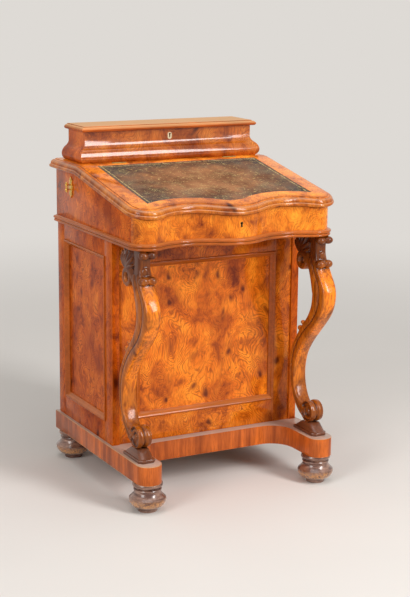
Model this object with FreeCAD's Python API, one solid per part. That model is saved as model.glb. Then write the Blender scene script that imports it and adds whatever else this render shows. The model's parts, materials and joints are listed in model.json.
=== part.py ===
import FreeCAD, Part

import math
import os

V = FreeCAD.Vector

# Davenport desk in millimetres: +X right, +Y back, +Z up, standing on z = 0.
# The origin is on the floor, in the middle of the desk's width and depth.

# ---- Overall and base -------------------------------------------------------
BACK_Y = 254.5  # back of the base; its front stands as far forward
BOX_HALF = 253.0  # half the width of the desk box
PEDESTAL_HALF = BOX_HALF - 2.0  # the pedestal stands just inside the box's sides
BASE_HALF = PEDESTAL_HALF + 7.0  # half the width over the base runners
BASE_THICK = 46.5
RUNNER_WIDTH = 60.0
RUNNER_FRONT_Y = -BACK_Y
RUNNER_CORNER_R = 28.0  # rounded front ends of the runners
FRONT_RAIL_Y = RUNNER_FRONT_Y + 156.5  # front edge of the rail between the runners
FRONT_RAIL_DEPTH = 62.0
HOLLOW_R = 56.0  # hollow quarter curve where the rail meets a runner
REAR_RAIL_DEPTH = 60.0

# ---- Turned feet ------------------------------------------------------------
FOOT_HEIGHT = 69.0
FOOT_INSET = 38.0  # from the base's front and back to the middle of a foot
FOOT_X = BASE_HALF - 32.0
FOOT_FRONT_Y = RUNNER_FRONT_Y + FOOT_INSET
FOOT_REAR_Y = BACK_Y - FOOT_INSET
FOOT_BULGE_R = 43.0
FOOT_PAD_R = 23.0
FOOT_PAD_HEIGHT = 8.0
FOOT_BULGE_Z = 29.0
FOOT_NECK_R = 28.0
FOOT_NECK_Z = 55.0
FOOT_COLLAR_R = 32.0
FOOT_SPIGOT_R = 9.0
FOOT_SPIGOT_LENGTH = 24.0
SPIGOT_CLEARANCE = 0.1

# ---- Pedestal ---------------------------------------------------------------
PEDESTAL_HEIGHT = 488.0
PEDESTAL_FRONT_Y = FRONT_RAIL_Y + 20.0
PEDESTAL_BACK_Y = BACK_Y - 12.5
SIDE_THICK = 19.0
FRONT_SETBACK = 4.0  # the front frame stands behind the side boards' edges
FRAME_THICK = 19.0
FRONT_STILE = 44.5
FRONT_BOTTOM_RAIL = 57.5
FRONT_TOP_RAIL = 56.5
PANEL_THICK = 8.0
PANEL_RECESS = 9.0
MOULDING_WIDTH = 12.5
MOULDING_PROUD = 2.5  # the panel moulding stands this far above its frame
LEFT_STILE = 40.0
LEFT_BOTTOM_RAIL = 50.0
LEFT_TOP_RAIL = 40.0
BACK_THICK = 12.0

# ---- Side drawers -----------------------------------------------------------
DRAWER_COUNT = 4
RIGHT_STILE = 38.0
DRAWER_BOTTOM_RAIL = 24.0
DRAWER_TOP_RAIL = 22.0
DRAWER_DIVIDER = 14.0
DRAWER_GAP = 0.8  # clearance round a drawer front in its opening
DRAWER_FRONT_THICK = 16.0
DRAWER_FRONT_SETBACK = 4.0
DRAWER_LENGTH = 376.0
DRAWER_SIDE = 9.0
DRAWER_BOTTOM = 6.0
DRAWER_BOX_DROP = 14.0  # the sides are this much lower than the front
DUST_BOARD = 10.0
GUIDE_HEIGHT = 16.0
RUN_CLEARANCE = 0.5
KNOB_R = 13.0
KNOB_PROUD = 20.0
KNOB_NECK_R = 6.5
KNOB_SPIGOT_R = 5.0
KNOB_SPACING = 128.0

# ---- Desk box: its plan has a serpentine front -----------------------------
LOBE_Y = RUNNER_FRONT_Y + 19.5  # front of the middle lobe
LOBE_R = 99.0
VALLEY_SHARE = 0.502  # middle of each hollow, as a share of half the width
VALLEY_DEPTH = 36.0
CORNER_BACK = 11.5  # the corner lobes stand this far behind the middle lobe
BOX_BACK_Y = PEDESTAL_BACK_Y + 1.0
BOX_HEIGHT = 154.2  # from the top of the pedestal to the top of the shelf
BOTTOM_THICK = 12.0
WALL_THICK = 14.0
FRONT_WALL = 20.0
WAIST_HEIGHT = 16.0
WAIST_PROUD = 9.0

# ---- Rear shelf and sloping lid --------------------------------------------
RIM_THICK = 25.0
BOARD_THICK = 18.0
RIM_OVERHANG = 15.0  # the moulded edge stands this far outside the box
RIM_SLANT = 20.0  # width of the moulding's slanting top
RIM_TIP_DROP = 17.0  # depth of the lower bead's middle below the top
RIM_BEAD = 10.0
SHELF_BACK_Y = BOX_BACK_Y + 8.0
JOINT_Y = 100.0  # line where the lid meets the shelf
JOINT_GAP = 0.6
SLOPE = math.radians(10.6)
LID_SEAT = 0.3
POCKET_REAR = 14.0
POCKET_FRONT_Y = LOBE_Y + 67.0
LEATHER_HALF = BOX_HALF - 40.0
LEATHER_REAR_Y = JOINT_Y - 16.0
LEATHER_MARGIN = 50.0  # from the lid's front edge to the leather
LEATHER_THICK = 1.4
LEATHER_RECESS = 1.2

# ---- Stationery box ---------------------------------------------------------
CASE_HALF = BOX_HALF - 17.0
CASE_FRONT_Y = JOINT_Y + 19.0
CASE_BACK_Y = SHELF_BACK_Y - 22.0
CASE_HEIGHT = 73.3
CASE_WALL = 12.0
CASE_BULGE = 8.0
CASE_BULGE_Z = 15.0
CASE_BAND_IN = 10.5
CASE_BAND_Z = 44.0
CASE_LID_THICK = 13.0
CASE_LID_OVERHANG = 11.5

# ---- Butt hinges ------------------------------------------------------------
KNUCKLE_R = 2.2
HINGE_PIN_R = 1.0
PIN_CLEARANCE = 0.05
HINGE_LENGTH = 36.0
HINGE_LEAF = 1.2
HINGE_LEAF_HEIGHT = 14.0
HINGE_X = BOX_HALF - 103.0
HINGE_CLEARANCE = 0.4
LEAF_GAP = 0.2

# ---- Locks ------------------------------------------------------------------
LOCK_WIDTH = 50.0
LOCK_HEIGHT = 38.0
LOCK_THICK = 9.0
LOCK_INSET = 3.0  # how deep a lock is let into its wall
LOCK_CLEARANCE = 0.1
LOCK_TOP_DROP = 2.0
BOLT_WIDTH = 16.0
BOLT_THICK = 3.0
BOLT_LENGTH = 22.0
BOLT_CLEARANCE = 0.5
MORTISE_DEPTH = 9.0
MORTISE_CLEARANCE = 1.5
KEYHOLE_R = 2.6
KEYHOLE_SLOT = 3.0
KEYHOLE_DROP = 8.0
LINER_WALL = 1.1
LINER_DEPTH = 6.0
DESK_KEY_DROP = 25.1  # depth of the desk's keyhole below the lid's underside
BONE_HALF = 5.5
BONE_HEIGHT = 17.0
BONE_THICK = 1.0

# ---- Interior drawers in the desk well -------------------------------------
NEST_HEIGHT = 78.0
NEST_BOARD = 8.0
INNER_FRONT = 8.0
INNER_SIDE = 6.0
INNER_BOTTOM = 4.0
INNER_GAP = 0.6
INNER_KNOB_R = 6.0
INNER_KNOB_PROUD = 12.0

# ---- Pen tray ---------------------------------------------------------------
TRAY_DEPTH = 58.0
TRAY_HEIGHT = 22.0
TRAY_WALL = 5.0
TRAY_GAP = 1.0
INKWELL = 44.0

# ---- Scroll supports and their plinth blocks -------------------------------
SUPPORT_X = BASE_HALF - 28.0
SUPPORT_HALF = 18.0
COLLAR_HALF = 23.0
PLINTH_HALF = 21.0
PLINTH_FRONT_Y = RUNNER_FRONT_Y + 25.5
PLINTH_BACK_Y = PLINTH_FRONT_Y + 91.0
VOLUTE_Y = PLINTH_FRONT_Y + 40.5
VOLUTE_R = 26.5
PLINTH_STEP = 8.0
PLINTH_HEIGHT = 27.0
PLINTH_CANT = 8.0
PLINTH_TOP_HALF = 15.0
PLINTH_TOP_FRONT_Y = VOLUTE_Y - 16.0
PLINTH_TOP_BACK_Y = VOLUTE_Y + 18.0

# ---- Brass candle bracket on the left cheek --------------------------------
BRACKET_Y = JOINT_Y + 50.0
BRACKET_DROP = 33.7  # depth of the bracket's middle below the shelf
BRACKET_HEIGHT = 53.0
BRACKET_HALF = 12.0
BRACKET_PLATE = 2.0
LUG_REACH = 12.0
LUG_THICK = 3.0
LUG_GAP = 8.0
LUG_R = 4.0
SWIVEL_R = 1.8
SWIVEL_BALL_R = 2.8
SWIVEL_OUT = 2.0

# ---- Levels worked out from the sizes above --------------------------------
BASE_TOP = FOOT_HEIGHT + BASE_THICK
PEDESTAL_TOP = BASE_TOP + PEDESTAL_HEIGHT
BOTTOM_TOP = PEDESTAL_TOP + BOTTOM_THICK
SHELF_TOP = PEDESTAL_TOP + BOX_HEIGHT
RIM_UNDER = SHELF_TOP - RIM_THICK
BOARD_UNDER = SHELF_TOP - BOARD_THICK
CASE_TOP = SHELF_TOP + CASE_HEIGHT
FRAME_FRONT_Y = PEDESTAL_FRONT_Y + FRONT_SETBACK
FRAME_BACK_Y = FRAME_FRONT_Y + FRAME_THICK
BACK_FRONT_Y = PEDESTAL_BACK_Y - BACK_THICK
INNER_HALF = PEDESTAL_HALF - SIDE_THICK
VOLUTE_Z = BASE_TOP + PLINTH_HEIGHT + VOLUTE_R
BRACKET_Z = RIM_UNDER - BRACKET_DROP
BEYOND = 60.0  # how far a cutting shape reaches past what it cuts


def box(x0, x1, y0, y1, z0, z1):
    """A plain block between two corners."""
    return Part.makeBox(x1 - x0, y1 - y0, z1 - z0, V(x0, y0, z0))


def outline(start, *steps):
    """A face in the XY plane. A step of 2 numbers is a line's end, of 4 an arc's middle and end."""
    here = V(start[0], start[1], 0)
    first = here
    edges = []
    for step in steps + (start,):
        end = V(step[-2], step[-1], 0)
        if here.distanceToPoint(end) < 1e-6:
            continue
        if len(step) == 4:
            edges.append(Part.Arc(here, V(step[0], step[1], 0), end).toShape())
        else:
            edges.append(Part.LineSegment(here, end).toShape())
        here = end
    assert here.distanceToPoint(first) < 1e-6
    return Part.Face(Part.Wire(edges))


def stood(shape, origin, x_axis, y_axis):
    """Move a shape drawn in the XY plane so that its axes lie along two given directions."""
    turn = FreeCAD.Rotation(x_axis, y_axis, x_axis.cross(y_axis), "XYZ")
    moved = shape.copy()
    moved.Placement = FreeCAD.Placement(origin, turn).multiply(shape.Placement)
    return moved


def prism_x(face, x0, x1):
    """Extrude a face drawn as (y, z) from x0 to x1."""
    return stood(face, V(x0, 0, 0), V(0, 1, 0), V(0, 0, 1)).extrude(V(x1 - x0, 0, 0))


def prism_z(face, z0, z1):
    """Extrude a face drawn as (x, y) from z0 to z1."""
    return stood(face, V(0, 0, z0), V(1, 0, 0), V(0, 1, 0)).extrude(V(0, 0, z1 - z0))


def turned(face, x, y, z):
    """Turn a face drawn as (radius, height) about a vertical axis at x, y."""
    return stood(face, V(x, y, z), V(1, 0, 0), V(0, 0, 1)).revolve(V(x, y, z), V(0, 0, 1), 360)


def mirrored(shape):
    return shape.mirror(V(0, 0, 0), V(1, 0, 0))


def joined(shapes):
    """Fuse shapes that meet into one solid."""
    whole = shapes[0].fuse(shapes[1:])
    return whole.removeSplitter()


# ---- Serpentine plan --------------------------------------------------------
def serpentine(out, shift=0.0):
    """The plan's front as arcs from the left side to the right, set out by a distance."""
    valley_x = BOX_HALF * VALLEY_SHARE
    reach = (valley_x ** 2 + VALLEY_DEPTH ** 2) / (2 * VALLEY_DEPTH)
    valley_r = reach - LOBE_R
    rise = VALLEY_DEPTH - CORNER_BACK
    run = valley_x - rise
    spread = run ** 2 - valley_x ** 2 - rise ** 2 + 2 * rise * (valley_r + BOX_HALF)
    corner_x = run + math.sqrt(spread)
    corner_r = BOX_HALF - corner_x
    lobe_y = LOBE_Y + shift
    lobe = V(0, lobe_y + LOBE_R, 0)
    valley = V(valley_x, lobe_y + VALLEY_DEPTH - valley_r, 0)
    corner = V(corner_x, lobe_y + CORNER_BACK + corner_r, 0)
    to_valley = (valley - lobe).normalize()
    to_corner = (corner - valley).normalize()
    a_lobe = math.atan2(to_valley.y, to_valley.x)
    a_valley = math.atan2(to_corner.y, to_corner.x)
    right = [
        (valley, valley_r - out, a_lobe + math.pi, a_valley, -1),
        (corner, corner_r + out, a_valley - math.pi, 0.0, 1),
    ]
    left = []
    for centre, radius, a0, a1, bulge in right:
        left.insert(0, (V(-centre.x, centre.y, 0), radius, math.pi - a1, math.pi - a0, bulge))
    middle = (lobe, LOBE_R + out, math.pi - a_lobe, a_lobe, 1)
    return left + [middle] + right


def polar(centre, radius, angle, z=0.0):
    return V(centre.x + radius * math.cos(angle), centre.y + radius * math.sin(angle), z)


def sweep_angle(a0, a1, bulge):
    """Signed turn from a0 to a1: outward arcs run anticlockwise from left to right."""
    turn = (a1 - a0) % (2 * math.pi)
    return turn if bulge > 0 else turn - 2 * math.pi


def front_edges(out, shift, z=0.0):
    edges = []
    for centre, radius, a0, a1, bulge in serpentine(out, shift):
        half = a0 + sweep_angle(a0, a1, bulge) / 2
        arc = Part.Arc(polar(centre, radius, a0, z), polar(centre, radius, half, z),
                       polar(centre, radius, a1, z))
        edges.append(arc.toShape())
    return edges


def plan_face(out, back_y, shift=0.0, z=0.0):
    """The whole plan set out by a distance, cut off straight at the back."""
    edges = front_edges(out, shift, z)
    side = BOX_HALF + out
    front_left = edges[0].Vertexes[0].Point
    front_right = edges[-1].Vertexes[-1].Point
    back_left = V(-side, back_y, z)
    back_right = V(side, back_y, z)
    for start, end in ((front_right, back_right), (back_right, back_left), (back_left, front_left)):
        if start.distanceToPoint(end) > 1e-6:
            edges.append(Part.LineSegment(start, end).toShape())
    return Part.Face(Part.Wire(Part.__sortEdges__(edges)))


def edge_moulding(profile, back_y, shift=0.0):
    """Run a profile drawn as (outward, height) along both sides and the serpentine front."""
    pieces = {"left": None, "front": [], "right": None}
    arcs = serpentine(0.0, shift)
    side_y = polar(arcs[0][0], arcs[0][1], arcs[0][2]).y
    left = stood(profile, V(-BOX_HALF, side_y, 0), V(-1, 0, 0), V(0, 0, 1))
    right = stood(profile, V(BOX_HALF, side_y, 0), V(1, 0, 0), V(0, 0, 1))
    pieces["left"] = left.extrude(V(0, back_y - side_y, 0))
    pieces["right"] = right.extrude(V(0, back_y - side_y, 0))
    for centre, radius, a0, a1, bulge in arcs:
        outward = V(math.cos(a0), math.sin(a0), 0) * bulge
        start = stood(profile, polar(centre, radius, a0), outward, V(0, 0, 1))
        turn = math.degrees(sweep_angle(a0, a1, bulge))
        pieces["front"].append(start.revolve(centre, V(0, 0, 1), turn))
    return pieces


# ---- Base, feet, plinth blocks and scroll supports --------------------------
def base_runner():
    """The right runner, with a rounded front end and sockets for two foot spigots."""
    x0 = BASE_HALF - RUNNER_WIDTH
    r = RUNNER_CORNER_R
    k = r * (1 - math.sqrt(0.5))
    y0 = RUNNER_FRONT_Y
    plan = outline(
        (x0, BACK_Y), (x0, y0 + r), (x0 + k, y0 + k, x0 + r, y0), (BASE_HALF - r, y0),
        (BASE_HALF - k, y0 + k, BASE_HALF, y0 + r), (BASE_HALF, BACK_Y),
    )
    runner = prism_z(plan, FOOT_HEIGHT, BASE_TOP)
    for y in (FOOT_FRONT_Y, FOOT_REAR_Y):
        socket = Part.makeCylinder(FOOT_SPIGOT_R + SPIGOT_CLEARANCE, FOOT_SPIGOT_LENGTH + 1,
                                   V(FOOT_X, y, FOOT_HEIGHT))
        runner = runner.cut(socket)
    return runner


def base_front_rail():
    """The rail between the runners, with a hollow curve into each of them."""
    x = BASE_HALF - RUNNER_WIDTH
    tip = x - HOLLOW_R
    k = HOLLOW_R * math.sqrt(0.5)
    y = FRONT_RAIL_Y
    back = y + FRONT_RAIL_DEPTH
    plan = outline(
        (-x, back), (-x, y - HOLLOW_R), (-tip - k, y - HOLLOW_R + k, -tip, y), (tip, y),
        (tip + k, y - HOLLOW_R + k, x, y - HOLLOW_R), (x, back),
    )
    return prism_z(plan, FOOT_HEIGHT, BASE_TOP)


def base_rear_rail():
    x = BASE_HALF - RUNNER_WIDTH
    return box(-x, x, BACK_Y - REAR_RAIL_DEPTH, BACK_Y, FOOT_HEIGHT, BASE_TOP)


def foot(x, y):
    """A turned bun foot: pad, bulge, neck, collar and a spigot up into the runner."""
    collar_low = FOOT_NECK_Z + 4
    profile = outline(
        (0, 0), (FOOT_PAD_R, 0), (FOOT_PAD_R + 2, FOOT_PAD_HEIGHT / 2, FOOT_PAD_R, FOOT_PAD_HEIGHT),
        (FOOT_BULGE_R - 9, FOOT_PAD_HEIGHT + 3),
        (FOOT_BULGE_R - 2.5, (FOOT_PAD_HEIGHT + FOOT_BULGE_Z) / 2 + 1, FOOT_BULGE_R - 0.8, FOOT_BULGE_Z - 4),
        (FOOT_BULGE_R, FOOT_BULGE_Z, FOOT_BULGE_R - 0.8, FOOT_BULGE_Z + 4),
        (FOOT_NECK_R + 5, (FOOT_BULGE_Z + FOOT_NECK_Z) / 2 + 1, FOOT_NECK_R, FOOT_NECK_Z - 5),
        (FOOT_NECK_R, FOOT_NECK_Z),
        (FOOT_NECK_R, collar_low), (FOOT_COLLAR_R - 1, collar_low),
        (FOOT_COLLAR_R, (collar_low + FOOT_HEIGHT) / 2, FOOT_COLLAR_R - 1, FOOT_HEIGHT),
        (FOOT_SPIGOT_R, FOOT_HEIGHT), (FOOT_SPIGOT_R, FOOT_HEIGHT + FOOT_SPIGOT_LENGTH),
        (0, FOOT_HEIGHT + FOOT_SPIGOT_LENGTH),
    )
    return turned(profile, x, y, 0)


def canted(half, y0, y1, cant):
    """A rectangle about x = 0 with its two front corners cut off, as points."""
    return [V(-half, y1, 0), V(-half, y0 + cant, 0), V(-half + cant, y0, 0),
            V(half - cant, y0, 0), V(half, y0 + cant, 0), V(half, y1, 0)]


def ring(points, z):
    raised = [V(p.x, p.y, z) for p in points]
    return Part.makePolygon(raised + raised[:1])


def plinth_block(x):
    """A stepped block that tapers up to the seat of the scroll."""
    low = canted(PLINTH_HALF, PLINTH_FRONT_Y, PLINTH_BACK_Y, PLINTH_CANT)
    inset = 3.0
    foot_of_slope = canted(PLINTH_HALF - inset, PLINTH_FRONT_Y + inset, PLINTH_BACK_Y - inset, PLINTH_CANT)
    top = canted(PLINTH_TOP_HALF, PLINTH_TOP_FRONT_Y, PLINTH_TOP_BACK_Y, PLINTH_CANT - inset)
    step_z = BASE_TOP + PLINTH_STEP
    step = Part.makeLoft([ring(low, BASE_TOP), ring(low, step_z)], True, True)
    slope = Part.makeLoft([ring(foot_of_slope, step_z), ring(top, BASE_TOP + PLINTH_HEIGHT)], True, True)
    block = joined([step, slope])
    block.translate(V(x, 0, 0))
    return block


# The support's outline as (distance behind the volute's middle, share of the way up from it).
SUPPORT_FRONT = [(-25, 1.0), (-24, 0.93), (-28, 0.876), (-40, 0.811), (-58, 0.76), (-68, 0.714),
                 (-70, 0.672), (-64, 0.617), (-50, 0.557), (-27, 0.499), (1, 0.43), (28, 0.358),
                 (47, 0.293), (56, 0.223), (57, 0.154), (50, 0.094), (23, 0.028)]
SUPPORT_BACK = [(10, -0.05), (38, -0.013), (55, 0.038), (69, 0.1), (77, 0.17), (80, 0.223), (78, 0.288),
                (70, 0.339), (60, 0.385), (47, 0.425), (32, 0.473), (15, 0.515), (0, 0.557),
                (-11, 0.61), (-15, 0.675), (-11, 0.735), (2, 0.779), (21, 0.8), (43, 0.806),
                (58, 0.841), (71, 0.9), (77, 1.0)]
COLLAR_DROPS = (8.0, 67.0)  # middles of the two collars below the top of the support
COLLAR_THICK = 15.0
COLLAR_PROUD = 22.0  # reach of a collar in front of the neck


def spline(points):
    """A smooth curve through points of the support's outline, drawn as (y, z)."""
    rise = PEDESTAL_TOP - VOLUTE_Z
    curve = Part.BSplineCurve()
    curve.interpolate([V(VOLUTE_Y + y, VOLUTE_Z + share * rise, 0) for y, share in points])
    return curve.toShape()


def support_collar(drop, back_y):
    """A rounded collar that wraps the front of the neck."""
    z = PEDESTAL_TOP - drop
    front = VOLUTE_Y + SUPPORT_FRONT[1][0] - COLLAR_PROUD
    half = COLLAR_THICK / 2
    collar = box(-COLLAR_HALF, COLLAR_HALF, front, back_y, z - half, z + half)
    low = [e for e in collar.Edges if e.BoundBox.ZMax < z]
    collar = collar.makeFillet(half * 0.8, low)
    return collar.common(box(-COLLAR_HALF, COLLAR_HALF, front, back_y, z - half, PEDESTAL_TOP))


def scroll_support(x):
    """An S-shaped support: a volute at its foot, a second scroll behind its head, two collars."""
    front = spline(SUPPORT_FRONT)
    back = spline(SUPPORT_BACK)
    low_front = front.Vertexes[-1].Point
    low_back = back.Vertexes[0].Point
    eye = V(VOLUTE_Y, VOLUTE_Z, 0)
    edges = [
        front, Part.LineSegment(low_front, eye).toShape(), Part.LineSegment(eye, low_back).toShape(),
        back, Part.LineSegment(back.Vertexes[-1].Point, front.Vertexes[0].Point).toShape(),
    ]
    shank = prism_x(Part.Face(Part.Wire(edges)), -SUPPORT_HALF, SUPPORT_HALF)
    volute = Part.makeCylinder(VOLUTE_R, 2 * SUPPORT_HALF, V(-SUPPORT_HALF, VOLUTE_Y, VOLUTE_Z), V(1, 0, 0))
    top_drop, low_drop = COLLAR_DROPS
    head = support_collar(top_drop, VOLUTE_Y + SUPPORT_BACK[-1][0])
    collar = support_collar(low_drop, VOLUTE_Y)
    support = joined([shank, volute, head, collar])
    below = box(-BEYOND, BEYOND, VOLUTE_Y - BEYOND, VOLUTE_Y + BEYOND, 0, BASE_TOP + PLINTH_HEIGHT)
    support = support.cut(below)
    support.translate(V(x, 0, 0))
    return support


# ---- Pedestal ---------------------------------------------------------------
def mitred_frame(profile, width, height, strip, depth):
    """Four mitred lengths round an opening, drawn in XY with the profile as (inward, forward)."""
    lengths = []
    sides = [(V(0, 0, 0), V(1, 0, 0), width), (V(width, 0, 0), V(0, 1, 0), height),
             (V(width, height, 0), V(-1, 0, 0), width), (V(0, height, 0), V(0, -1, 0), height)]
    for start, along, length in sides:
        inward = V(0, 0, 1).cross(along)
        bar = stood(profile, start, inward, V(0, 0, 1)).extrude(along * length)
        corners = [start, start + along * length, start + along * (length - strip) + inward * strip,
                   start + along * strip + inward * strip]
        wedge = Part.Face(Part.makePolygon([c - V(0, 0, depth) for c in corners + corners[:1]]))
        lengths.append(bar.common(wedge.extrude(V(0, 0, 3 * depth))))
    return lengths


def panel_moulding(width, height):
    """Ogee moulding that covers the step from the frame down to the panel."""
    w = MOULDING_WIDTH
    p = MOULDING_PROUD
    d = PANEL_RECESS
    profile = outline(
        (0, 0), (0.6, p * 0.8, w * 0.25, p), (w * 0.45, p * 0.2), (w * 0.62, -d * 0.25, w * 0.8, -d * 0.45),
        (w, -d * 0.7), (w, -d), (1.5, -d), (1.5, 0),
    )
    return mitred_frame(profile, width, height, w, d + p)


def framed(x0, x1, z0, z1, stile_left, stile_right, rail_low, rail_high, depth):
    """Two stiles and two rails as separate lengths, drawn in XY = width and height."""
    stiles = [box(x0, x0 + stile_left, z0, z1, 0, depth), box(x1 - stile_right, x1, z0, z1, 0, depth)]
    rails = [box(x0 + stile_left, x1 - stile_right, z0, z0 + rail_low, 0, depth),
             box(x0 + stile_left, x1 - stile_right, z1 - rail_high, z1, 0, depth)]
    return stiles + rails


def group(shapes):
    return Part.makeCompound(shapes)


def to_front(shape, y):
    """Stand an XY drawing up facing the front: its own height above the paper goes forward."""
    return stood(shape, V(0, y, 0), V(1, 0, 0), V(0, 0, 1))


def to_left(shape, x):
    """Stand an XY drawing up facing left: drawn x runs forward from the back."""
    return stood(shape, V(x, 0, 0), V(0, -1, 0), V(0, 0, 1))


def front_frame():
    lengths = framed(-INNER_HALF, INNER_HALF, BASE_TOP, PEDESTAL_TOP, FRONT_STILE, FRONT_STILE,
                     FRONT_BOTTOM_RAIL, FRONT_TOP_RAIL, FRAME_THICK)
    return group([to_front(s, FRAME_BACK_Y) for s in lengths])


def front_opening():
    half = INNER_HALF - FRONT_STILE
    return half, BASE_TOP + FRONT_BOTTOM_RAIL, PEDESTAL_TOP - FRONT_TOP_RAIL


def front_panel():
    half, z0, z1 = front_opening()
    face_y = FRAME_FRONT_Y + PANEL_RECESS
    return box(-half, half, face_y, face_y + PANEL_THICK, z0, z1)


def front_panel_moulding():
    half, z0, z1 = front_opening()
    lengths = panel_moulding(2 * half, z1 - z0)
    placed = []
    for length in lengths:
        length.translate(V(-half, z0, 0))
        placed.append(to_front(length, FRAME_FRONT_Y))
    return group(placed)


def left_side_frame():
    lengths = framed(-PEDESTAL_BACK_Y, -PEDESTAL_FRONT_Y, BASE_TOP, PEDESTAL_TOP, LEFT_STILE, LEFT_STILE,
                     LEFT_BOTTOM_RAIL, LEFT_TOP_RAIL, SIDE_THICK)
    return group([to_left(s, -INNER_HALF) for s in lengths])


def left_opening():
    y0 = PEDESTAL_FRONT_Y + LEFT_STILE
    y1 = PEDESTAL_BACK_Y - LEFT_STILE
    return y0, y1, BASE_TOP + LEFT_BOTTOM_RAIL, PEDESTAL_TOP - LEFT_TOP_RAIL


def left_side_panel():
    y0, y1, z0, z1 = left_opening()
    face_x = -PEDESTAL_HALF + PANEL_RECESS
    return box(face_x, face_x + PANEL_THICK, y0, y1, z0, z1)


def left_side_moulding():
    y0, y1, z0, z1 = left_opening()
    placed = []
    for length in panel_moulding(y1 - y0, z1 - z0):
        length.translate(V(-y1, z0, 0))
        placed.append(to_left(length, -PEDESTAL_HALF))
    return group(placed)


def back_panel():
    return box(-INNER_HALF, INNER_HALF, BACK_FRONT_Y, PEDESTAL_BACK_Y, BASE_TOP, PEDESTAL_TOP)


# ---- Side drawers -----------------------------------------------------------
def drawer_height():
    room = PEDESTAL_HEIGHT - DRAWER_BOTTOM_RAIL - DRAWER_TOP_RAIL - (DRAWER_COUNT - 1) * DRAWER_DIVIDER
    return room / DRAWER_COUNT


def drawer_floor(number):
    """Underside of the opening of a drawer, counted from 1 at the top."""
    return BASE_TOP + DRAWER_BOTTOM_RAIL + (DRAWER_COUNT - number) * (drawer_height() + DRAWER_DIVIDER)


DRAWER_Y0 = PEDESTAL_FRONT_Y + RIGHT_STILE
DRAWER_Y1 = PEDESTAL_BACK_Y - RIGHT_STILE


def right_side_frame():
    """Stiles, top and bottom rails and the dividers between the drawers."""
    x0 = INNER_HALF
    x1 = PEDESTAL_HALF
    lengths = [
        box(x0, x1, PEDESTAL_FRONT_Y, DRAWER_Y0, BASE_TOP, PEDESTAL_TOP),
        box(x0, x1, DRAWER_Y1, PEDESTAL_BACK_Y, BASE_TOP, PEDESTAL_TOP),
        box(x0, x1, DRAWER_Y0, DRAWER_Y1, BASE_TOP, BASE_TOP + DRAWER_BOTTOM_RAIL),
        box(x0, x1, DRAWER_Y0, DRAWER_Y1, PEDESTAL_TOP - DRAWER_TOP_RAIL, PEDESTAL_TOP),
    ]
    for number in range(1, DRAWER_COUNT):
        z1 = drawer_floor(number)
        lengths.append(box(x0, x1, DRAWER_Y0, DRAWER_Y1, z1 - DRAWER_DIVIDER, z1))
    return group(lengths)


def dust_boards():
    """A board under each drawer, with a guide strip along each side of the drawer."""
    pieces = []
    for number in range(1, DRAWER_COUNT + 1):
        z = drawer_floor(number)
        pieces.append(box(-INNER_HALF, INNER_HALF, FRAME_BACK_Y, BACK_FRONT_Y, z - DUST_BOARD, z))
        pieces.append(box(-INNER_HALF, INNER_HALF, FRAME_BACK_Y, DRAWER_Y0, z, z + GUIDE_HEIGHT))
        pieces.append(box(-INNER_HALF, INNER_HALF, DRAWER_Y1, BACK_FRONT_Y, z, z + GUIDE_HEIGHT))
    return group(pieces)


DRAWER_FACE_X = PEDESTAL_HALF - DRAWER_FRONT_SETBACK
DRAWER_FRONT_BACK_X = DRAWER_FACE_X - DRAWER_FRONT_THICK


def knob_places(number):
    middle = (DRAWER_Y0 + DRAWER_Y1) / 2
    z = drawer_floor(number) + drawer_height() / 2
    return [(middle - KNOB_SPACING / 2, z), (middle + KNOB_SPACING / 2, z)]


def drawer_front(number):
    z = drawer_floor(number)
    front = box(DRAWER_FRONT_BACK_X, DRAWER_FACE_X, DRAWER_Y0 + DRAWER_GAP, DRAWER_Y1 - DRAWER_GAP,
                z + DRAWER_GAP, z + drawer_height() - DRAWER_GAP)
    for y, knob_z in knob_places(number):
        hole = Part.makeCylinder(KNOB_SPIGOT_R + SPIGOT_CLEARANCE, DRAWER_FRONT_THICK,
                                 V(DRAWER_FRONT_BACK_X, y, knob_z), V(1, 0, 0))
        front = front.cut(hole)
    return front


def drawer_box(number):
    """Two sides, a back and a bottom, open at the top."""
    x0 = DRAWER_FRONT_BACK_X - DRAWER_LENGTH
    x1 = DRAWER_FRONT_BACK_X
    y0 = DRAWER_Y0 + RUN_CLEARANCE
    y1 = DRAWER_Y1 - RUN_CLEARANCE
    z0 = drawer_floor(number) + RUN_CLEARANCE
    z1 = drawer_floor(number) + drawer_height() - DRAWER_BOX_DROP
    s = DRAWER_SIDE
    floor = z0 + DRAWER_BOTTOM
    return group([
        box(x0, x1, y0, y1, z0, floor),
        box(x0, x1, y0, y0 + s, floor, z1),
        box(x0, x1, y1 - s, y1, floor, z1),
        box(x0, x0 + s, y0 + s, y1 - s, floor, z1),
    ])


def turned_knob(radius, neck, proud, spigot_r, spigot_length):
    """A mushroom knob drawn as (radius, out), ready to be turned about its own axis."""
    steps = [
        (neck + 2, 0), (neck + 1, 1.2, neck, proud * 0.3), (radius - 1, proud * 0.5),
        (radius, proud * 0.68, radius - 2, proud * 0.82),
        (radius * 0.55, proud * 0.96, radius * 0.2, proud), (0, proud),
    ]
    if spigot_length:
        return outline((0, -spigot_length), (spigot_r, -spigot_length), (spigot_r, 0), *steps)
    return outline((0, 0), *steps)


def drawer_knobs(number):
    profile = turned_knob(KNOB_R, KNOB_NECK_R, KNOB_PROUD, KNOB_SPIGOT_R, DRAWER_FRONT_THICK)
    knobs = []
    for y, z in knob_places(number):
        at = V(DRAWER_FACE_X, y, z)
        knobs.append(stood(profile, at, V(0, 1, 0), V(1, 0, 0)).revolve(at, V(1, 0, 0), 360))
    return group(knobs)


# ---- Desk box ---------------------------------------------------------------
def slope_z(y, drop=0.0):
    """Height of the lid's top plane, or of a plane that lies below it by a true distance."""
    return SHELF_TOP - (JOINT_Y - y) * math.tan(SLOPE) - drop / math.cos(SLOPE)


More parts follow.
